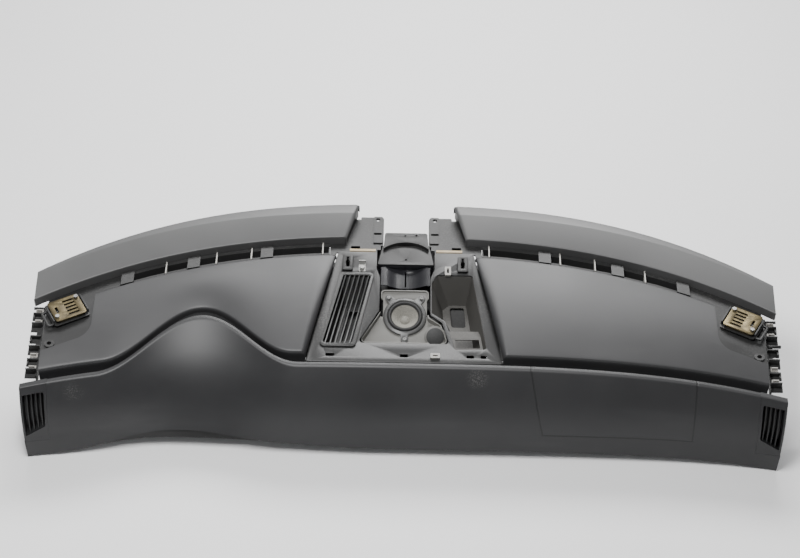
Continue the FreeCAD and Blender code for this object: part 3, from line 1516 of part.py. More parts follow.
def build_ends():
    for side, name in ((-1, "left"), (1, "right")):
        pieces["end_bracket_" + name] = end_bracket(side)
        pieces["bracket_block_" + name] = bracket_block(side)
        pieces["bracket_bolts_" + name] = bracket_bolts(side)
        pieces["end_rail_" + name] = end_rail(side)
        pieces["rail_clips_" + name] = rail_clips(side)
    pieces["locating_pin"] = locating_pin()


build_skins()
build_structure()
build_well()
build_ends()

whole = group(list(pieces.values())).optimalBoundingBox()
centre = Vector(-(whole.XMin + whole.XMax) / 2, -(whole.YMin + whole.YMax) / 2, -whole.ZMin)

os.makedirs("parts", exist_ok=True)
for name, shape in pieces.items():
    shape.translate(centre)
    shape.exportStep("parts/" + name + ".step")
    state = "" if shape.isValid() else "NOT VALID"
    print(name, len(shape.Solids), round(shape.Volume / 1000, 1), len(shape.Faces), state)
print("moved by", centre)
print("size", whole.XLength, whole.YLength, whole.ZLength)
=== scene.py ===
"""Car dashboard on a pale floor: smooth skins, finishes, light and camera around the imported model."""

import json
import math

import bmesh
import bpy
from mathutils import Matrix, Vector


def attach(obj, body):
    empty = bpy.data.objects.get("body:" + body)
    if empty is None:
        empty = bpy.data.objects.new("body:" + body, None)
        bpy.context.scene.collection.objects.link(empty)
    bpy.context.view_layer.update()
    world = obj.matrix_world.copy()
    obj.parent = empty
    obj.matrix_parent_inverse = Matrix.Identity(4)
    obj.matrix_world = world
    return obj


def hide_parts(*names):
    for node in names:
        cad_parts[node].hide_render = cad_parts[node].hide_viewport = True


# Where the drawing's zero lies in the frame, in millimetres
BACK = 221.772
BASE = 1.474

# Driving sizes of the skins, in millimetres, as on the drawing
HALF_WIDTH = 725.0
END_TAPER = 7.0
BOTTOM_HEIGHT = 20.0
BOTTOM_BACK = 2.0
BOTTOM_WRAP = 18.0
CREST_HEIGHT = 178.0
CREST_BACK = 72.0
FRONT_WRAP = 58.0
CREST_DROP = 18.0
FACE_BOW = 22.0
LEDGE_WIDTH = 11.0
VALLEY_DEPTH = 15.0
VALLEY_WIDTH = 25.0
DECK_STEP = 12.0
DECK_RISE = 28.0
DECK_DEPTH = 246.0
DECK_CROWN = 12.0
DECK_WRAP = 182.0
DECK_DROP = 22.0
SLOT_DEPTH = 8.0
SLOT_WIDTH = 37.0
TRIM_FRONT = 19.0
TRIM_FACE = 58.0
TRIM_LIFT = 12.0
TRIM_EDGE = 25.0
TRIM_EDGE_END = 6.0
TRIM_TAIL = 14.0
REAR_WRAP = 200.0
HOOD_X = -392.0
HOOD_REACH = 192.0
HOOD_BACK = 102.0
HOOD_RISE = 28.0
HOOD_DECK_REACH = 180.0
HOOD_DECK_BACK = 110.0
HOOD_DECK_RISE = 12.0
KNEE_X = -450.0
KNEE_LEFT = 230.0
KNEE_RIGHT = 420.0
KNEE_RISE = 16.0
KNEE_OUT = 9.0
LIP_X = -440.0
LIP_REACH = 210.0
LIP_HEIGHT = 16.0
LIP_EVERYWHERE = 1.5
PAD_WALL = 5.0
TRIM_WALL = 3.5
GAP = 0.3
PAD_END = 690.0
TRIM_END = 714.0
DECK_INNER_FRONT = 188.0
DECK_INNER_REAR = 136.0
SLANT_REACH = 45.0
DECK_ROLL = 20.0
ROLL_FRONT = 13.0
ROLL_REAR = 5.0
TRIM_INNER_FRONT = 117.0
TRIM_INNER_REAR = 94.0
TRIM_ROLL = 5.0
NOTCH_X = 600.0
NOTCH_FRONT = 86.0
NOTCH_SIDE = 128.0
NOTCH_ROUND = 42.0
NOTCH_MARGIN = 30.0
NOTCH_PAST_END = 5.0
VENT_X = 673.0
VENT_LOW = 46.0
SEAM_X0 = 241.0
SEAM_X1 = 552.0
SEAM_LOW = 62.0
SEAM_LEAN = 26.0
SEAM_RIGHT_LEAN = 3.0

# Roundings of the sections, in millimetres: the length of line that each one takes
CREST_ROUND = 4.5
LEDGE_RISE = 0.5
LEDGE_ROUND = 3.5
VALLEY_LEAN = 5.0
VALLEY_ROUND = 3.0
DECK_FRONT_ROUND = 6.0
DECK_CROWN_ROUND = 100.0
DECK_REAR_ROUND = 4.0
TRIM_FOOT_ROUND = 3.0
TRIM_FOLD_ROUND = 1.2
TRIM_FOLD_DROP = 0.5
TRIM_EDGE_ROUND = 2.5

# How late each line turns towards the ends: the power of the distance from the middle
FRONT_WRAP_POWER = 3.4
CREST_DROP_POWER = 2.4
BOTTOM_WRAP_POWER = 5.0
BOTTOM_DROP_POWER = 3.4
DECK_WRAP_POWER = 2.5
DECK_DROP_POWER = 2.4
REAR_WRAP_POWER = 2.6
TRIM_EDGE_POWER = 2.2

# Distance between sections, over the hood and elsewhere, and the plain length before the next one
HOOD_STEP = 6.0
PLAIN_STEP = 15.0
PAST_ROLL = 5.0

# Steps round each rolled inner end and round the notch in a deck pad
DECK_ROLL_STEPS = 10
TRIM_ROLL_STEPS = 6
TRIM_ROLL_WIDTH = 7.0
NOTCH_STEPS = 8

# Shares without a unit
ROLL_CROWDING = 1.5
FACE_BOW_SHARE = 0.35
FACE_BOW_AT_HOOD = 0.4

# Dark floor under the well, in millimetres: a black sheet standing for the shade seen through the well's
# holes (painted shade)
LINER_FRONT = 92.0
LINER_DEPTH = 302.0
LINER_HALF_FRONT = 172.0
LINER_NARROWING = 44.0
LINER_HEIGHT = 100.0
LINER_RISE = 92.0
LINER_WALL = 2.0

# Dark plate beside each rear tab and the wall under the trim's inner end, in millimetres: black sheets
# standing for the shade in the gaps there (painted shade)
WING_INNER = 90.0
WING_FRONT = 372.0
WING_REAR = 452.0
WING_UNDER_TRIM_FRONT = 24.0
WING_UNDER_TRIM_REAR = 26.0
WING_DROP = 1.0
WING_WALL = 1.5
END_WALL_SECTION = 3.0
END_WALL_INSET = 4.0

# Edges sharper than this stay crisp, and edges sharper than the last one are eased, in degrees
SKIN_CREASE = 38.0
SOLID_CREASE = 30.0
EASED_CREASE = 50.0

# The camera as fitted to the photograph: millimetres, degrees and rows of the picture
LENS = 96.4
SENSOR = 36.0
AIM_X = -10.8
AIM_Y = 215.0
AIM_Z = 120.0
CAMERA_AWAY = 4200.0
LOOK_DOWN = 45.0
CAMERA_ROLL = 1.1
AIM_ROW = 335
MIDDLE_ROW = 279
FOCAL_ROWS = 2143

HANDS = {-1: "left", 1: "right"}

# Nodes shown with smooth shading, and how far their edges are eased, in millimetres
EASED = {
    "well_frame": 0.8, "display_housing": 0.6, "display_cover": 0.8, "outlet_grille": 0.5,
    "clip_sockets": 0.5, "speaker_baffle": 0.5, "duct_recess": 0.0, "outlet_box": 0.0,
    "speaker_basket": 0.3, "speaker_surround": 0.0, "speaker_cone": 0.0, "speaker_dust_cap": 0.0,
    "speaker_screws": 0.0, "blanking_disc": 0.4, "speaker_cowl": 0.0, "carrier": 0.0,
    "side_vent_left": 0.0, "side_vent_right": 0.0, "end_bracket_left": 0.3, "end_bracket_right": 0.3,
    "bracket_block_left": 0.5, "bracket_block_right": 0.5, "locating_pin": 0.3, "speaker_magnet": 0.4,
}


def at(x, y, z):
    """A point of the drawing, in metres in the frame."""
    return Vector((x / 1000, (y - BACK) / 1000, (z - BASE) / 1000))


# The lines that the skins follow, as on the drawing

def sag(x, depth, power):
    """How far a line has turned away at x, if it reaches the depth at the ends."""
    return depth * (abs(x) / HALF_WIDTH) ** power


def swell(x, middle, left, right):
    """Soft bump: 1 at the middle and 0 past its reach on either side."""
    reach = left if x < middle else right
    away = abs(x - middle)
    return math.cos(math.pi / 2 * away / reach) ** 2 if away < reach else 0.0


def hood(x):
    return swell(x, HOOD_X, HOOD_REACH, HOOD_REACH)


def crest(x):
    y = CREST_BACK - sag(x, FRONT_WRAP, FRONT_WRAP_POWER) + HOOD_BACK * hood(x)
    return y, CREST_HEIGHT - sag(x, CREST_DROP, CREST_DROP_POWER) + HOOD_RISE * hood(x)


def face_bottom(x):
    knee = swell(x, KNEE_X, KNEE_LEFT, KNEE_RIGHT)
    y = BOTTOM_BACK - sag(x, BOTTOM_WRAP, BOTTOM_WRAP_POWER) + KNEE_OUT * knee
    z = BOTTOM_HEIGHT - sag(x, BOTTOM_HEIGHT, BOTTOM_DROP_POWER) + KNEE_RISE * knee
    lip = LIP_EVERYWHERE + LIP_HEIGHT * swell(x, LIP_X, LIP_REACH, LIP_REACH)
    back, top = crest(x)
    run = math.hypot(back - y, top - z)
    return y + lip * (back - y) / run, z + lip * (top - z) / run


def deck_front(x):
    bulge = swell(x, HOOD_X, HOOD_DECK_REACH, HOOD_DECK_REACH)
    y = CREST_BACK + VALLEY_WIDTH - sag(x, FRONT_WRAP, FRONT_WRAP_POWER) + HOOD_DECK_BACK * bulge
    z = CREST_HEIGHT + DECK_STEP - sag(x, CREST_DROP, CREST_DROP_POWER) + HOOD_DECK_RISE * bulge
    return y, z


def deck_rear(x):
    y = CREST_BACK + VALLEY_WIDTH + DECK_DEPTH - sag(x, DECK_WRAP, DECK_WRAP_POWER)
    return y, CREST_HEIGHT + DECK_STEP + DECK_RISE - sag(x, DECK_DROP, DECK_DROP_POWER)


def slot_floor(x):
    return deck_rear(x)[1] - SLOT_DEPTH


def trim_foot(x):
    return deck_rear(x)[0] + SLOT_WIDTH, slot_floor(x) + TRIM_FRONT


def trim_rear(x):
    y = CREST_BACK + VALLEY_WIDTH + DECK_DEPTH + SLOT_WIDTH + TRIM_FACE + TRIM_EDGE
    z = trim_foot(x)[1] + TRIM_LIFT + TRIM_FOLD_DROP
    return y - sag(x, REAR_WRAP, REAR_WRAP_POWER), z


def trim_fold(x):
    y, z = trim_rear(x)
    share = max(1.0 - (abs(x) / TRIM_END) ** TRIM_EDGE_POWER, 0.0)
    return y - TRIM_EDGE_END - (TRIM_EDGE - TRIM_EDGE_END) * share, z - TRIM_FOLD_DROP


def valley_floor(x):
    return crest(x)[1] - VALLEY_DEPTH


def trim_slope():
    """How far the inner end of a windscreen trim moves inwards for each millimetre back."""
    return (TRIM_INNER_FRONT - TRIM_INNER_REAR) / (trim_rear(0)[0] - trim_foot(0)[0])


def met(edge, x, slant, pivot):
    """Where a section that slants in plan, about the pivot's y, meets an edge line."""
    return edge(x - slant * (edge(x)[0] - pivot))


def rounded(corners, steps=6):
    """Points along a line whose corners are (y, z, share of the shorter run that the rounding takes)."""
    points = [corners[0][:2]]
    for before, here, after in zip(corners, corners[1:], corners[2:]):
        y, z, cut = here
        runs = [math.hypot(y - side[0], z - side[1]) for side in (before, after)]
        cut = min(cut, 0.9 * min(runs))
        ends = [(y + (side[0] - y) * cut / run, z + (side[1] - z) * cut / run)
                for side, run in zip((before, after), runs)]
        for i in range(steps + 1):
            t = i / steps
            points.append(tuple((1 - t) ** 2 * a + 2 * t * (1 - t) * b + t * t * c
                                for a, b, c in zip(ends[0], (y, z), ends[1])))
    return points + [corners[-1][:2]]


def front_section(x):
    """Line of the front pad from its lip over the crest and down to the valley."""
    y0, z0 = face_bottom(x)
    y1, z1 = crest(x)
    run = math.hypot(y1 - y0, z1 - z0)
    out = FACE_BOW * (1 + FACE_BOW_AT_HOOD * hood(x))
    middle = ((y0 + y1) / 2 - out * (z1 - z0) / run, (z0 + z1) / 2 + out * (y1 - y0) / run)
    low = valley_floor(x)
    ledge = y1 + LEDGE_WIDTH
    return rounded([(y0, z0, 0), (*middle, FACE_BOW_SHARE * run), (y1, z1, CREST_ROUND),
                    (ledge, z1 + LEDGE_RISE, LEDGE_ROUND), (ledge + VALLEY_LEAN, low, VALLEY_ROUND),
                    (deck_front(x)[0] + PAD_WALL - 2 * GAP, low, 0)])


def deck_section(x, roll, slant, pivot):
    """Line of a deck pad from its front foot over the crown to its rear foot."""
    y0, z0 = met(deck_front, x, slant, pivot)
    y1, z1 = met(deck_rear, x, slant, pivot)
    z0 -= roll * ROLL_FRONT
    z1 -= roll * ROLL_REAR
    front_foot = valley_floor(x - slant * (y0 - pivot)) + GAP
    rear_foot = slot_floor(x - slant * (y1 - pivot)) + GAP - roll * ROLL_REAR
    crown = ((y0 + y1) / 2, (z0 + z1) / 2 + DECK_CROWN, DECK_CROWN_ROUND)
    return rounded([(y0, front_foot, 0), (y0, z0, DECK_FRONT_ROUND), crown,
                    (y1, z1, DECK_REAR_ROUND), (y1, rear_foot, 0)], steps=8)


def trim_section(x, roll, slant, pivot):
    """Line of a windscreen trim: up its front, over its face and the fold, and down the tail."""
    y0, z0 = met(trim_foot, x, slant, pivot)
    y1, z1 = met(trim_fold, x, slant, pivot)
    y2, z2 = met(trim_rear, x, slant, pivot)
    z0, z1, z2 = z0 - roll, z1 - roll, z2 - roll
    foot = slot_floor(x - slant * (y0 - pivot)) + GAP
    return rounded([(y0, foot, 0), (y0, z0, TRIM_FOOT_ROUND), (y1, z1, TRIM_FOLD_ROUND),
                    (y2, z2, TRIM_EDGE_ROUND), (y2, z2 - TRIM_TAIL, 0)], steps=5)


# Making meshes

def shade(bm, limit):
    """Smooth faces, with every edge sharper than the limit kept crisp."""
    for face in bm.faces:
        face.smooth = True
    for edge in bm.edges:
        if len(edge.link_faces) == 2:
            edge.smooth = edge.calc_face_angle(0.0) < math.radians(limit)


def new_piece(name, bm):
    """Object in the scene from a finished mesh."""
    mesh = bpy.data.meshes.new(name)
    bm.to_mesh(mesh)
    bm.free()
    piece = bpy.data.objects.new(name, mesh)
    bpy.context.scene.collection.objects.link(piece)
    return piece


def skin(places, section):
    """Open sheet through sections.

    Places is a list of (x, extra), and section(x, *extra) gives the line there. A place may slant in
    plan, as the last two values of its extra say.
    """
    lines = [section(x, *extra) for x, extra in places]
    columns, rows = len(places), len(lines[0])
    bm = bmesh.new()
    bmesh.ops.create_grid(bm, x_segments=columns - 1, y_segments=rows - 1, size=0.5)
    for vert in bm.verts:
        column = round((vert.co.x + 0.5) * (columns - 1))
        row = round((vert.co.y + 0.5) * (rows - 1))
        x, extra = places[column]
        y, z = lines[column][row]
        slant, pivot = extra[-2:] if extra else (0.0, 0.0)
        lean = END_TAPER * (x / HALF_WIDTH) ** 3 / CREST_HEIGHT
        vert.co = at(x - slant * (y - pivot) - lean * (CREST_HEIGHT - z), y, z)
    bm.normal_update()
    upward = sum(face.normal.z * face.calc_area() for face in bm.faces)
    if upward < 0:
        bmesh.ops.reverse_faces(bm, faces=bm.faces)
    return bm


def thicken(name, bm, wall):
    """Give an open sheet its wall, inwards, and finish it."""
    sheet = new_piece(name + "_sheet", bm)
    solidify = sheet.modifiers.new("wall", "SOLIDIFY")
    solidify.thickness = wall / 1000
    solidify.offset = -1.0
    solid = bmesh.new()
    graph = bpy.context.evaluated_depsgraph_get()
    solid.from_object(sheet, graph)
    bpy.data.objects.remove(sheet)
    shade(solid, SKIN_CREASE)
    return new_piece(name, solid)


def spread(start, stop, step):
    """Even places from start to stop, no more than a step apart."""
    count = max(int(math.ceil(abs(stop - start) / step)), 1)
    return [start + (stop - start) * i / count for i in range(count + 1)]


def across(start, stop):
    """Places for sections: close together over the hood, wider elsewhere."""
    left, right = HOOD_X - HOOD_REACH, HOOD_X + HOOD_REACH
    marks = [start] + [mark for mark in (left, right) if start < mark < stop] + [stop]
    places = [start]
    for a, b in zip(marks, marks[1:]):
        places += spread(a, b, HOOD_STEP if left <= a and b <= right else PLAIN_STEP)[1:]
    return places


def rolled_offsets(width, steps):
    """Distances from a rolled end, crowded where it turns fastest."""
    return [width * (i / steps) ** ROLL_CROWDING for i in range(steps + 1)]


def rolled(offset, width):
    """How far a rounded end has dropped: 1 at the end and 0 past its width."""
    return 1 - math.sqrt(1 - (1 - min(offset / width, 1.0)) ** 2)


def front_pad():
    """Padded front face, open at both ends where the side vents sit."""
    places = [(x, ()) for x in across(-HALF_WIDTH, HALF_WIDTH)]
    bm = skin(places, front_section)
    for side in (-1, 1):
        cut(bm, at(side * VENT_X, 0, 0), (1, 0, 0))
    cut(bm, at(0, 0, VENT_LOW), (0, 0, 1))
    edge, low = VENT_X / 1000, at(0, 0, VENT_LOW).z
    gone = [face for face in bm.faces
            if abs(face.calc_center_median().x) > edge and face.calc_center_median().z > low]
    bmesh.ops.delete(bm, geom=gone, context="FACES")
    return thicken("front_skin", bm, PAD_WALL)


def cut(bm, point, normal, faces=None):
    """Part the faces along a plane."""
    faces = faces or bm.faces[:]
    edges = {edge for face in faces for edge in face.edges}
    verts = {vert for face in faces for vert in face.verts}
    bmesh.ops.bisect_plane(bm, geom=list(verts) + list(edges) + faces, dist=1e-6,
                           plane_co=point, plane_no=normal)


def deck_pad(side):
    """Crowned deck pad: rolled down along its slanting inner end, with the outer front corner cut out."""
    middle_y = CREST_BACK + VALLEY_WIDTH + DECK_DEPTH / 2
    slope = (DECK_INNER_FRONT - DECK_INNER_REAR) / DECK_DEPTH
    middle_x = DECK_INNER_FRONT - slope * DECK_DEPTH / 2
    offsets = rolled_offsets(DECK_ROLL, DECK_ROLL_STEPS)
    first = middle_x + DECK_ROLL + PAST_ROLL
    if side > 0:
        offsets += [x - middle_x for x in across(first, PAD_END)]
    else:
        offsets += [-x - middle_x for x in reversed(across(-PAD_END, -first))]
    places = []
    for offset in offsets:
        slant = side * slope * max(1 - offset / SLANT_REACH, 0.0)
        roll = rolled(offset, DECK_ROLL)
        places.append((side * (middle_x + offset), (roll, slant, middle_y)))
    bm = skin(places, deck_section)
    planes = notch_planes(side)
    for point, normal in planes:
        near = [face for face in bm.faces
                if abs(face.calc_center_median().x) > (NOTCH_X - NOTCH_MARGIN) / 1000]
        cut(bm, point, normal, near)
    gone = [face for face in bm.faces
            if all((face.calc_center_median() - point).dot(normal) > 0 for point, normal in planes)]
    bmesh.ops.delete(bm, geom=gone, context="FACES")
    return thicken("deck_skin_" + HANDS[side], bm, PAD_WALL)


def notch_planes(side):
    """Planes round the corner that is cut out of each deck pad, as (point, direction into the cut)."""
    slant = math.atan2(NOTCH_SIDE - NOTCH_FRONT, PAD_END + NOTCH_PAST_END - NOTCH_X)
    cut_back = NOTCH_ROUND / math.tan((math.pi / 2 + slant) / 2)
    middle_x, middle_y = NOTCH_X + NOTCH_ROUND, NOTCH_SIDE + cut_back
    planes = []
    for i in range(NOTCH_STEPS + 1):
        angle = math.pi + (math.pi / 2 - slant) * i / NOTCH_STEPS
        x = middle_x + NOTCH_ROUND * math.cos(angle)
        y = middle_y + NOTCH_ROUND * math.sin(angle)
        planes.append((at(side * x, y, 0), Vector((-side * math.cos(angle), -math.sin(angle), 0))))
    return planes


def well_shade_liner():
    """Dark floor of the carrier under the well, which closes the view down to the ground: a black sheet
    standing for the shade inside the closed ducts (painted shade).
    """
    bm = bmesh.new()
    bmesh.ops.create_grid(bm, x_segments=12, y_segments=24, size=0.5)
    for vert in bm.verts:
        aside, back = vert.co.x * 2, vert.co.y + 0.5
        half = LINER_HALF_FRONT - LINER_NARROWING * back
        vert.co = at(aside * half, LINER_FRONT + LINER_DEPTH * back, LINER_HEIGHT + LINER_RISE * back ** 2)
    bmesh.ops.recalc_face_normals(bm, faces=bm.faces)
    return thicken("well_shade_liner", bm, LINER_WALL)


def tab_plate_and_shade_wall(side):
    """The carrier's plate beside each rear tab, and the dark wall under the trim's inner end: black sheets
    that close the view down to the floor, standing for the shade in the gaps there (painted shade).
    """
    level = slot_floor(0) - WING_DROP
    corners = [(WING_INNER, WING_FRONT), (TRIM_INNER_FRONT + WING_UNDER_TRIM_FRONT, WING_FRONT),
               (TRIM_INNER_REAR + WING_UNDER_TRIM_REAR, WING_REAR), (WING_INNER, WING_REAR)]
    bm = bmesh.new()
    bm.faces.new([bm.verts.new(at(side * x, y, level)) for x, y in corners])
    # The wall under the trim's inner end: painted shade in the cavity there
    line = trim_section(side * (TRIM_INNER_FRONT + END_WALL_SECTION), 0.0, 0.0, 0.0)
    upper, lower = [], []
    for y, z in line[2:-1]:
        x = side * (TRIM_INNER_FRONT + END_WALL_INSET - trim_slope() * (y - trim_foot(0)[0]))
        upper.append(bm.verts.new(at(x, y, z - TRIM_WALL - WING_DROP)))
        lower.append(bm.verts.new(at(x, y, level)))
    for i in range(len(upper) - 1):
        bm.faces.new([lower[i], lower[i + 1], upper[i + 1], upper[i]])
    bmesh.ops.recalc_face_normals(bm, faces=bm.faces)
    return thicken("tab_plate_and_shade_wall_" + HANDS[side], bm, WING_WALL)


def windscreen_trim(side):
    """Trim along the windscreen: rolled down a little at its slanting inner end."""
    foot_y = trim_foot(0)[0]
    offsets = rolled_offsets(TRIM_ROLL_WIDTH, TRIM_ROLL_STEPS)
    first = TRIM_INNER_FRONT + TRIM_ROLL_WIDTH + PAST_ROLL
    offsets += [x - TRIM_INNER_FRONT for x in across(first, TRIM_END)]
    places = []
    for offset in offsets:
        slant = side * trim_slope() * max(1 - offset / SLANT_REACH, 0.0)
        roll = TRIM_ROLL * rolled(offset, TRIM_ROLL_WIDTH)
        places.append((side * (TRIM_INNER_FRONT + offset), (roll, slant, foot_y)))
    bm = skin(places, trim_section)
    return thicken("trim_skin_" + HANDS[side], bm, TRIM_WALL)


def softened(node, mesh, bevel):
    """Merged, smooth-shaded copy of a CAD node's mesh, with its edges eased a little."""
    bm = bmesh.new()
    bm.from_mesh(mesh)
    bmesh.ops.remove_doubles(bm, verts=bm.verts, dist=2e-6)
    if bevel:
        bmesh.ops.dissolve_limit(bm, angle_limit=math.radians(1.0), verts=bm.verts, edges=bm.edges)
        crease = math.radians(EASED_CREASE)
        sharp = [edge for edge in bm.edges
                 if len(edge.link_faces) == 2 and edge.calc_face_angle(0.0) > crease]
        bmesh.ops.bevel(bm, geom=sharp, offset=bevel / 1000, segments=2, profile=0.5, affect="EDGES",
                        clamp_overlap=True, material=-1)
    shade(bm, SOLID_CREASE)
    return new_piece(node + "_soft", bm)


# Finishes

class Value:
    """A number that varies over a surface; arithmetic on it adds Math nodes."""

    def __init__(self, finish, socket):
        self.finish = finish
        self.socket = socket

    def _math(self, operation, first, second):
        return self.finish.add("ShaderNodeMath", {"operation": operation}, {0: first, 1: second})

    def __add__(self, other):
        return self._math("ADD", self, other)

    def __radd__(self, other):
        return self._math("ADD", other, self)

    def __sub__(self, other):
        return self._math("SUBTRACT", self, other)

    def __rsub__(self, other):
        return self._math("SUBTRACT", other, self)

    def __mul__(self, other):
        return self._math("MULTIPLY", self, other)

    def __rmul__(self, other):
        return self._math("MULTIPLY", other, self)

    def __truediv__(self, other):
        return self._math("DIVIDE", self, other)

    def __rtruediv__(self, other):
        return self._math("DIVIDE", other, self)

    def least(self, other):
        return self._math("MINIMUM", self, other)

    def most(self, other):
        return self._math("MAXIMUM", self, other)

    def size(self):
        return self.finish.add("ShaderNodeMath", {"operation": "ABSOLUTE"}, {0: self})

    def fade(self, low, high):
        """0 below low and 1 above high, smooth in between; the other way round if low is above high."""
        rising = low < high
        ends = {1: min(low, high), 2: max(low, high), 3: 0.0 if rising else 1.0, 4: 1.0 if rising else 0.0}
        return self.finish.add("ShaderNodeMapRange", {"interpolation_type": "SMOOTHSTEP"}, {0: self, **ends})


class Finish:
    """A material built from nodes."""

    def __init__(self, name):
        self.material = bpy.data.materials.new(name)
        self.material.use_nodes = True
        self.tree = self.material.node_tree
        self.shader = self.tree.nodes["Principled BSDF"]
        self.place = self.add("ShaderNodeTexCoord", output="Object")
        self.x = self.part(self.place, "X")
        self.z = self.part(self.place, "Z")

    def add(self, kind, settings=None, inputs=None, output=0):
        """One output of a new node; settings are set first, then its inputs."""
        node = self.tree.nodes.new(kind)
        for name, value in (settings or {}).items():
            setattr(node, name, value)
        for name, value in (inputs or {}).items():
            self.feed(node.inputs[name], value)
        return Value(self, node.outputs[output])

    def feed(self, socket, value):
        if isinstance(value, Value):
            self.tree.links.new(value.socket, socket)
        elif isinstance(value, tuple) and len(value) == 3 and socket.type == "RGBA":
            socket.default_value = (*value, 1.0)
        else:
            socket.default_value = value

    def part(self, vector, axis):
        """One of a vector's X, Y and Z."""
        return self.add("ShaderNodeSeparateXYZ", inputs={0: vector}, output=axis)

    def noise(self, scale, detail=3.0, stretch=(1, 1, 1)):
        """Noise from 0 to 1 with features about 1 / scale metres wide."""
        moved = self.add("ShaderNodeMapping", inputs={"Vector": self.place, "Scale": stretch})
        inputs = {"Vector": moved, "Scale": scale, "Detail": detail}
        return self.add("ShaderNodeTexNoise", inputs=inputs, output="Fac")

    def cells(self, scale):
        """Distance to the middle of cells about 1 / scale metres wide."""
        inputs = {"Vector": self.place, "Scale": scale}
        return self.add("ShaderNodeTexVoronoi", {"feature": "F1"}, inputs, "Distance")

    def blend(self, share, first, second):
        """A colour between two, by a varying share."""
        return self.add("ShaderNodeMix", {"data_type": "RGBA"}, {0: share, 6: first, 7: second}, 2)

    def spot(self, x, y, z, reach):
        """1 at a point of the drawing and 0 beyond the reach, both in millimetres."""
        ends = {0: self.place, 1: tuple(at(x, y, z))}
        away = self.add("ShaderNodeVectorMath", {"operation": "DISTANCE"}, ends, "Value")
        return away.fade(reach / 1000, reach / 4000)

    def bump(self, height, depth, strength):
        inputs = {"Height": height, "Distance": depth, "Strength": strength}
        self.feed(self.shader.inputs["Normal"], self.add("ShaderNodeBump", inputs=inputs))

    def set(self, **values):
        for name, value in values.items():
            self.feed(self.shader.inputs[name.replace("_", " ")], value)
        return self.material


def moulded(name, colour, roughness=0.5, dust=0.25, pale=(0.30, 0.29, 0.27)):
    """Moulded plastic with a fine grain, a cloudy sheen and a little dust on what faces up."""
    finish = Finish(name)
    cloud = finish.noise(7.0, 4.0)
    speck = finish.noise(260.0, 3.0)
    facing = finish.add("ShaderNodeNewGeometry", output="Normal")
    lying = finish.part(facing, "Z").fade(0.2, 1.0)
    film = lying * cloud.fade(0.35, 0.75) * speck.fade(0.42, 0.75) * dust
    lighter = tuple(min(channel * 1.35 + 0.004, 1.0) for channel in colour)
    base = finish.blend(cloud.fade(0.3, 0.8), colour, lighter)
    finish.bump(finish.cells(900.0), 0.00006, 0.6)
    return finish.set(Base_Color=finish.blend(film, base, pale),
                      Roughness=(cloud - 0.5) * 0.16 + film * 0.6 + roughness)


def padded_skin():
    """Grained skin of the front face: tear line of the airbag and faint scuffs."""
    finish = Finish("padded_skin")
    cloud = finish.noise(5.0, 4.0)
    grain = finish.cells(1100.0)
    fine = finish.noise(420.0, 2.0)
    wipe = finish.noise(9.0, 3.0, (0.35, 1, 2.2))
    low = at(0, 0, SEAM_LOW).z
    top = at(0, 0, CREST_HEIGHT).z
    rise = (finish.z - low) / (top - low)
    left_foot = (SEAM_X0 + SEAM_LEAN) / 1000
    right_foot = SEAM_X1 / 1000
    line_edge, line_core = 0.0022, 0.0008
    left_line = (finish.x - left_foot + rise * (SEAM_LEAN / 1000)).size()
    right_line = (finish.x - right_foot - rise * (SEAM_RIGHT_LEAN / 1000)).size()
    above = finish.z.fade(low - 0.0005, low + 0.0005)
    right_of_left = finish.x.fade(left_foot - 0.005, left_foot + 0.001)
    left_of_right = finish.x.fade(right_foot + 0.004, right_foot)
    sides = left_line.least(right_line).fade(line_edge, line_core) * above
    bottom = (finish.z - low).size().fade(line_edge, line_core) * right_of_left * left_of_right
    seam = sides.most(bottom)
    scuff_by_well = finish.spot(140, 62, 160, reach=26) * fine.fade(0.45, 0.7)
    scuff_at_left = finish.spot(-622, 12, 150, reach=30) * fine.fade(0.48, 0.72)
    scuff = scuff_by_well.most(scuff_at_left)
    base = finish.blend(cloud.fade(0.3, 0.75), (0.012, 0.012, 0.013), (0.018, 0.018, 0.019))
    base = finish.blend(wipe.fade(0.55, 0.85) * 0.35, base, (0.035, 0.035, 0.036))
    base = finish.blend(scuff * 0.16, base, (0.35, 0.34, 0.32))
    base = finish.blend(seam * 0.75, base, (0.003, 0.003, 0.003))
    finish.bump(grain * 0.6 + fine * 0.4 - seam * 6.0, 0.00009, 0.7)
    return finish.set(Base_Color=base, Roughness=0.47 + (cloud - 0.5) * 0.14 + scuff * 0.2)


def deck_grain():
    """Grained deck skin, paler where the light wipes it."""
    finish = Finish("deck_grain")
    cloud = finish.noise(4.5, 4.0)
    grain = finish.cells(1000.0)
    fine = finish.noise(380.0, 2.0)
    streak = finish.noise(16.0, 2.0, (0.5, 1.6, 1))
    scuff = finish.spot(266, 330, 214, reach=20) * fine.fade(0.5, 0.75)
    base = finish.blend(cloud.fade(0.3, 0.75), (0.020, 0.020, 0.021), (0.029, 0.029, 0.030))
    base = finish.blend(streak.fade(0.6, 0.9) * 0.25, base, (0.045, 0.045, 0.045))
    base = finish.blend(scuff * 0.25, base, (0.4, 0.39, 0.36))
    finish.bump(grain * 0.6 + fine * 0.4, 0.00008, 0.7)
    return finish.set(Base_Color=base, Roughness=0.46 + (cloud - 0.5) * 0.16 + scuff * 0.2)


def trim_paint():
    """Smooth satin trim with a cloudy tone."""
    finish = Finish("trim_paint")
    cloud = finish.noise(3.5, 4.0)
    fine = finish.noise(300.0, 2.0)
    base = finish.blend(cloud.fade(0.3, 0.8), (0.055, 0.055, 0.055), (0.075, 0.075, 0.075))
    finish.bump(fine, 0.00004, 0.5)
    return finish.set(Base_Color=base, Roughness=0.42 + (cloud - 0.5) * 0.14)


def foam():
    """Open-celled beige foam."""
    finish = Finish("beige_foam")
    pores = finish.cells(420.0)
    cloud = finish.noise(30.0, 4.0)
    base = finish.blend(cloud.fade(0.3, 0.8), (0.42, 0.34, 0.23), (0.55, 0.47, 0.34))
    finish.bump(pores, 0.0006, 0.9)
    return finish.set(Base_Color=base, Roughness=0.92)


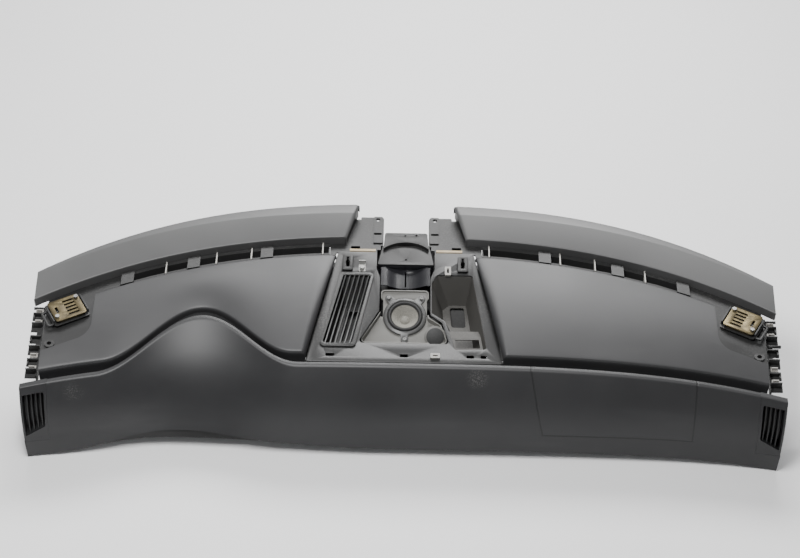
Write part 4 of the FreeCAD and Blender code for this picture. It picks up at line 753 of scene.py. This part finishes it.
def plated(name, colour, dull, roughness=0.34):
    """Plated steel with a cloudy passivation and small marks."""
    finish = Finish(name)
    cloud = finish.noise(60.0, 5.0)
    mark = finish.noise(500.0, 4.0)
    base = finish.blend(cloud.fade(0.35, 0.7), colour, dull)
    finish.bump(mark, 0.00005, 0.5)
    return finish.set(Base_Color=base, Metallic=0.85, Roughness=roughness + (cloud - 0.5) * 0.3)


def paper_cone():
    """Pressed pulp with faint fibres."""
    finish = Finish("paper_cone")
    fibre = finish.noise(700.0, 4.0, (1, 0.25, 1))
    cloud = finish.noise(60.0, 3.0)
    base = finish.blend(fibre.fade(0.3, 0.8), (0.16, 0.155, 0.135), (0.26, 0.25, 0.22))
    finish.bump(fibre, 0.0002, 0.6)
    return finish.set(Base_Color=base, Roughness=0.75 + (cloud - 0.5) * 0.1)


def glossy(name, colour):
    """Gloss black plastic with hairline wipe marks."""
    finish = Finish(name)
    wipe = finish.noise(40.0, 3.0, (1, 0.2, 1))
    cloud = finish.noise(14.0, 3.0)
    lighter = tuple(channel * 1.6 + 0.004 for channel in colour)
    base = finish.blend(cloud.fade(0.4, 0.8), colour, lighter)
    finish.bump(wipe, 0.00003, 0.3)
    return finish.set(Base_Color=base, Roughness=0.16 + wipe * 0.14, Coat_Weight=0.3)


# Light, floor and camera

def softbox(name, place, target, width, depth, power):
    """Rectangular lamp that faces its target."""
    lamp = bpy.data.lights.new(name, "AREA")
    lamp.shape = "RECTANGLE"
    lamp.size, lamp.size_y = width, depth
    lamp.energy = power
    box = bpy.data.objects.new(name, lamp)
    box.location = place
    box.rotation_euler = (Vector(target) - Vector(place)).to_track_quat("-Z", "Y").to_euler()
    bpy.context.scene.collection.objects.link(box)


def studio():
    """Even pale surroundings, a window behind, a light over the hood and one on the floor behind."""
    world = bpy.data.worlds.new("studio")
    world.use_nodes = True
    background = world.node_tree.nodes["Background"]
    background.inputs["Color"].default_value = (0.97, 0.98, 1.0, 1)
    background.inputs["Strength"].default_value = 0.3
    bpy.context.scene.world = world
    softbox("rear_window", place=(0.2, 1.5, 1.75), target=(0.05, 0.05, 0.15), width=1.3, depth=0.7, power=42)
    softbox("hood_light", place=(-0.42, -0.75, 2.5), target=(-0.39, -0.08, 0.15), width=0.5, depth=1.2,
            power=75)
    softbox("backdrop_light", place=(0, 3.2, 3.2), target=(0, 1.6, 0), width=3.5, depth=1.2, power=110)


def floor():
    """Pale floor, a little below the part."""
    bm = bmesh.new()
    bmesh.ops.create_grid(bm, x_segments=1, y_segments=1, size=7.0)
    bmesh.ops.translate(bm, vec=(0, 0, -0.0005), verts=bm.verts)
    plane = new_piece("floor", bm)
    finish = Finish("pale_floor")
    cloud = finish.noise(2.0, 3.0)
    tone = finish.blend(cloud, (0.86, 0.86, 0.86), (0.9, 0.9, 0.9))
    plane.data.materials.append(finish.set(Base_Color=tone, Roughness=0.85))


def camera():
    """The photograph's long lens, looking down across the car at the deck."""
    lens = bpy.data.cameras.new("camera")
    lens.lens, lens.sensor_width = LENS, SENSOR
    lens.clip_end = 50.0
    view = bpy.data.objects.new("camera", lens)
    steep = math.radians(LOOK_DOWN)
    view.location = at(AIM_X, AIM_Y - CAMERA_AWAY * math.cos(steep), AIM_Z + CAMERA_AWAY * math.sin(steep))
    tilt = math.pi / 2 - steep + math.atan((AIM_ROW - MIDDLE_ROW) / FOCAL_ROWS)
    aim = Matrix.Rotation(tilt, 3, "X") @ Matrix.Rotation(math.radians(CAMERA_ROLL), 3, "Z")
    view.rotation_euler = aim.to_euler()
    bpy.context.scene.collection.objects.link(view)
    bpy.context.scene.camera = view


# Putting it together

def take_place(piece, node, material):
    """A new piece shown instead of a CAD node."""
    piece.data.materials.clear()
    piece.data.materials.append(material)
    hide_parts(node)
    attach(piece, "root")


def paint(mesh, material):
    """One material on every slot of a mesh."""
    if not mesh.materials:
        mesh.materials.append(material)
    for i in range(len(mesh.materials)):
        mesh.materials[i] = material


def finishes():
    """Every material by the slot that it fills."""
    return {
        "front_skin": padded_skin(),
        "deck_skin": deck_grain(),
        "trim_skin": trim_paint(),
        "black_plastic": moulded("black_plastic", (0.007, 0.007, 0.007), 0.5, dust=0.12),
        "duct_plastic": moulded("duct_grey", (0.012, 0.012, 0.012), 0.6, dust=0.12),
        "well_plastic": moulded("well_grey", (0.008, 0.008, 0.008), 0.42, dust=0.2),
        "shelf_plastic": moulded("shelf_grey", (0.05, 0.048, 0.044), 0.55),
        "pale_plastic": moulded("pale_plastic", (0.30, 0.29, 0.27), 0.5, pale=(0.4, 0.38, 0.34)),
        "gloss_black": glossy("housing_black", (0.010, 0.010, 0.012)),
        "beige_foam": foam(),
        "black_rubber": moulded("black_rubber", (0.012, 0.012, 0.012), 0.7),
        "cone_paper": paper_cone(),
        "ferrite": moulded("ferrite", (0.03, 0.03, 0.03), 0.6),
        "zinc_steel": plated("zinc_plate", (0.26, 0.26, 0.25), (0.15, 0.15, 0.15), 0.4),
        "bronze_steel": plated("yellow_plate", (0.13, 0.105, 0.055), (0.08, 0.066, 0.04), 0.42),
    }


def own_finishes(shared):
    """Materials of the nodes that differ from the rest of their slot."""
    return {
        "speaker_baffle": moulded("baffle_grey", (0.10, 0.098, 0.09), 0.5),
        "speaker_basket": moulded("basket_grey", (0.035, 0.035, 0.034), 0.4),
        "outlet_box": shared["black_plastic"],
    }


def place_skins(shared):
    """Smooth skins in place of the solids' faceted ones; returns the nodes that they replace."""
    take_place(front_pad(), "front_pad", shared["front_skin"])
    replaced = ["front_pad"]
    for side, hand in HANDS.items():
        take_place(deck_pad(side), "deck_pad_" + hand, shared["deck_skin"])
        take_place(windscreen_trim(side), "windscreen_trim_" + hand, shared["trim_skin"])
        replaced += ["deck_pad_" + hand, "windscreen_trim_" + hand]
    return replaced


def finish_nodes(frame, replaced, shared):
    """Every other node gets its material, and the ones in EASED a copy with eased edges."""
    own = own_finishes(shared)
    for part in frame["record"]["subparts"]:
        node, slot = part["node"], part["material_slot"]
        if node in replaced:
            continue
        mesh = frame["nodes"][node].data
        material = own.get(node, shared[slot])
        if node in EASED:
            take_place(softened(node, mesh, EASED[node]), node, material)
        else:
            paint(mesh, material)


def place_shade_pieces(shared):
    """Dark pieces that close the view down to the floor: painted shade where the gaps show only shade."""
    for piece in (well_shade_liner(), tab_plate_and_shade_wall(-1), tab_plate_and_shade_wall(1)):
        # Black plastic on each piece: painted shade in the gaps
        piece.data.materials.append(shared["black_plastic"])
        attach(piece, "root")


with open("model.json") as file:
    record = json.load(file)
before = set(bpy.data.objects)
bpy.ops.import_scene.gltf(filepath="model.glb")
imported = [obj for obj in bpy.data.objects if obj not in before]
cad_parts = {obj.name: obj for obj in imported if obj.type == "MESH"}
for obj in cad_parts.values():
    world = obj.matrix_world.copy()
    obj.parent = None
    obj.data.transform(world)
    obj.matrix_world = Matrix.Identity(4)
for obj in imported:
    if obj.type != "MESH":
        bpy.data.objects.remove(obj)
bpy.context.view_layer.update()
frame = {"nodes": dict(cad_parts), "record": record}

shared_finishes = finishes()
finish_nodes(frame, place_skins(shared_finishes), shared_finishes)
place_shade_pieces(shared_finishes)
studio()
floor()
camera()
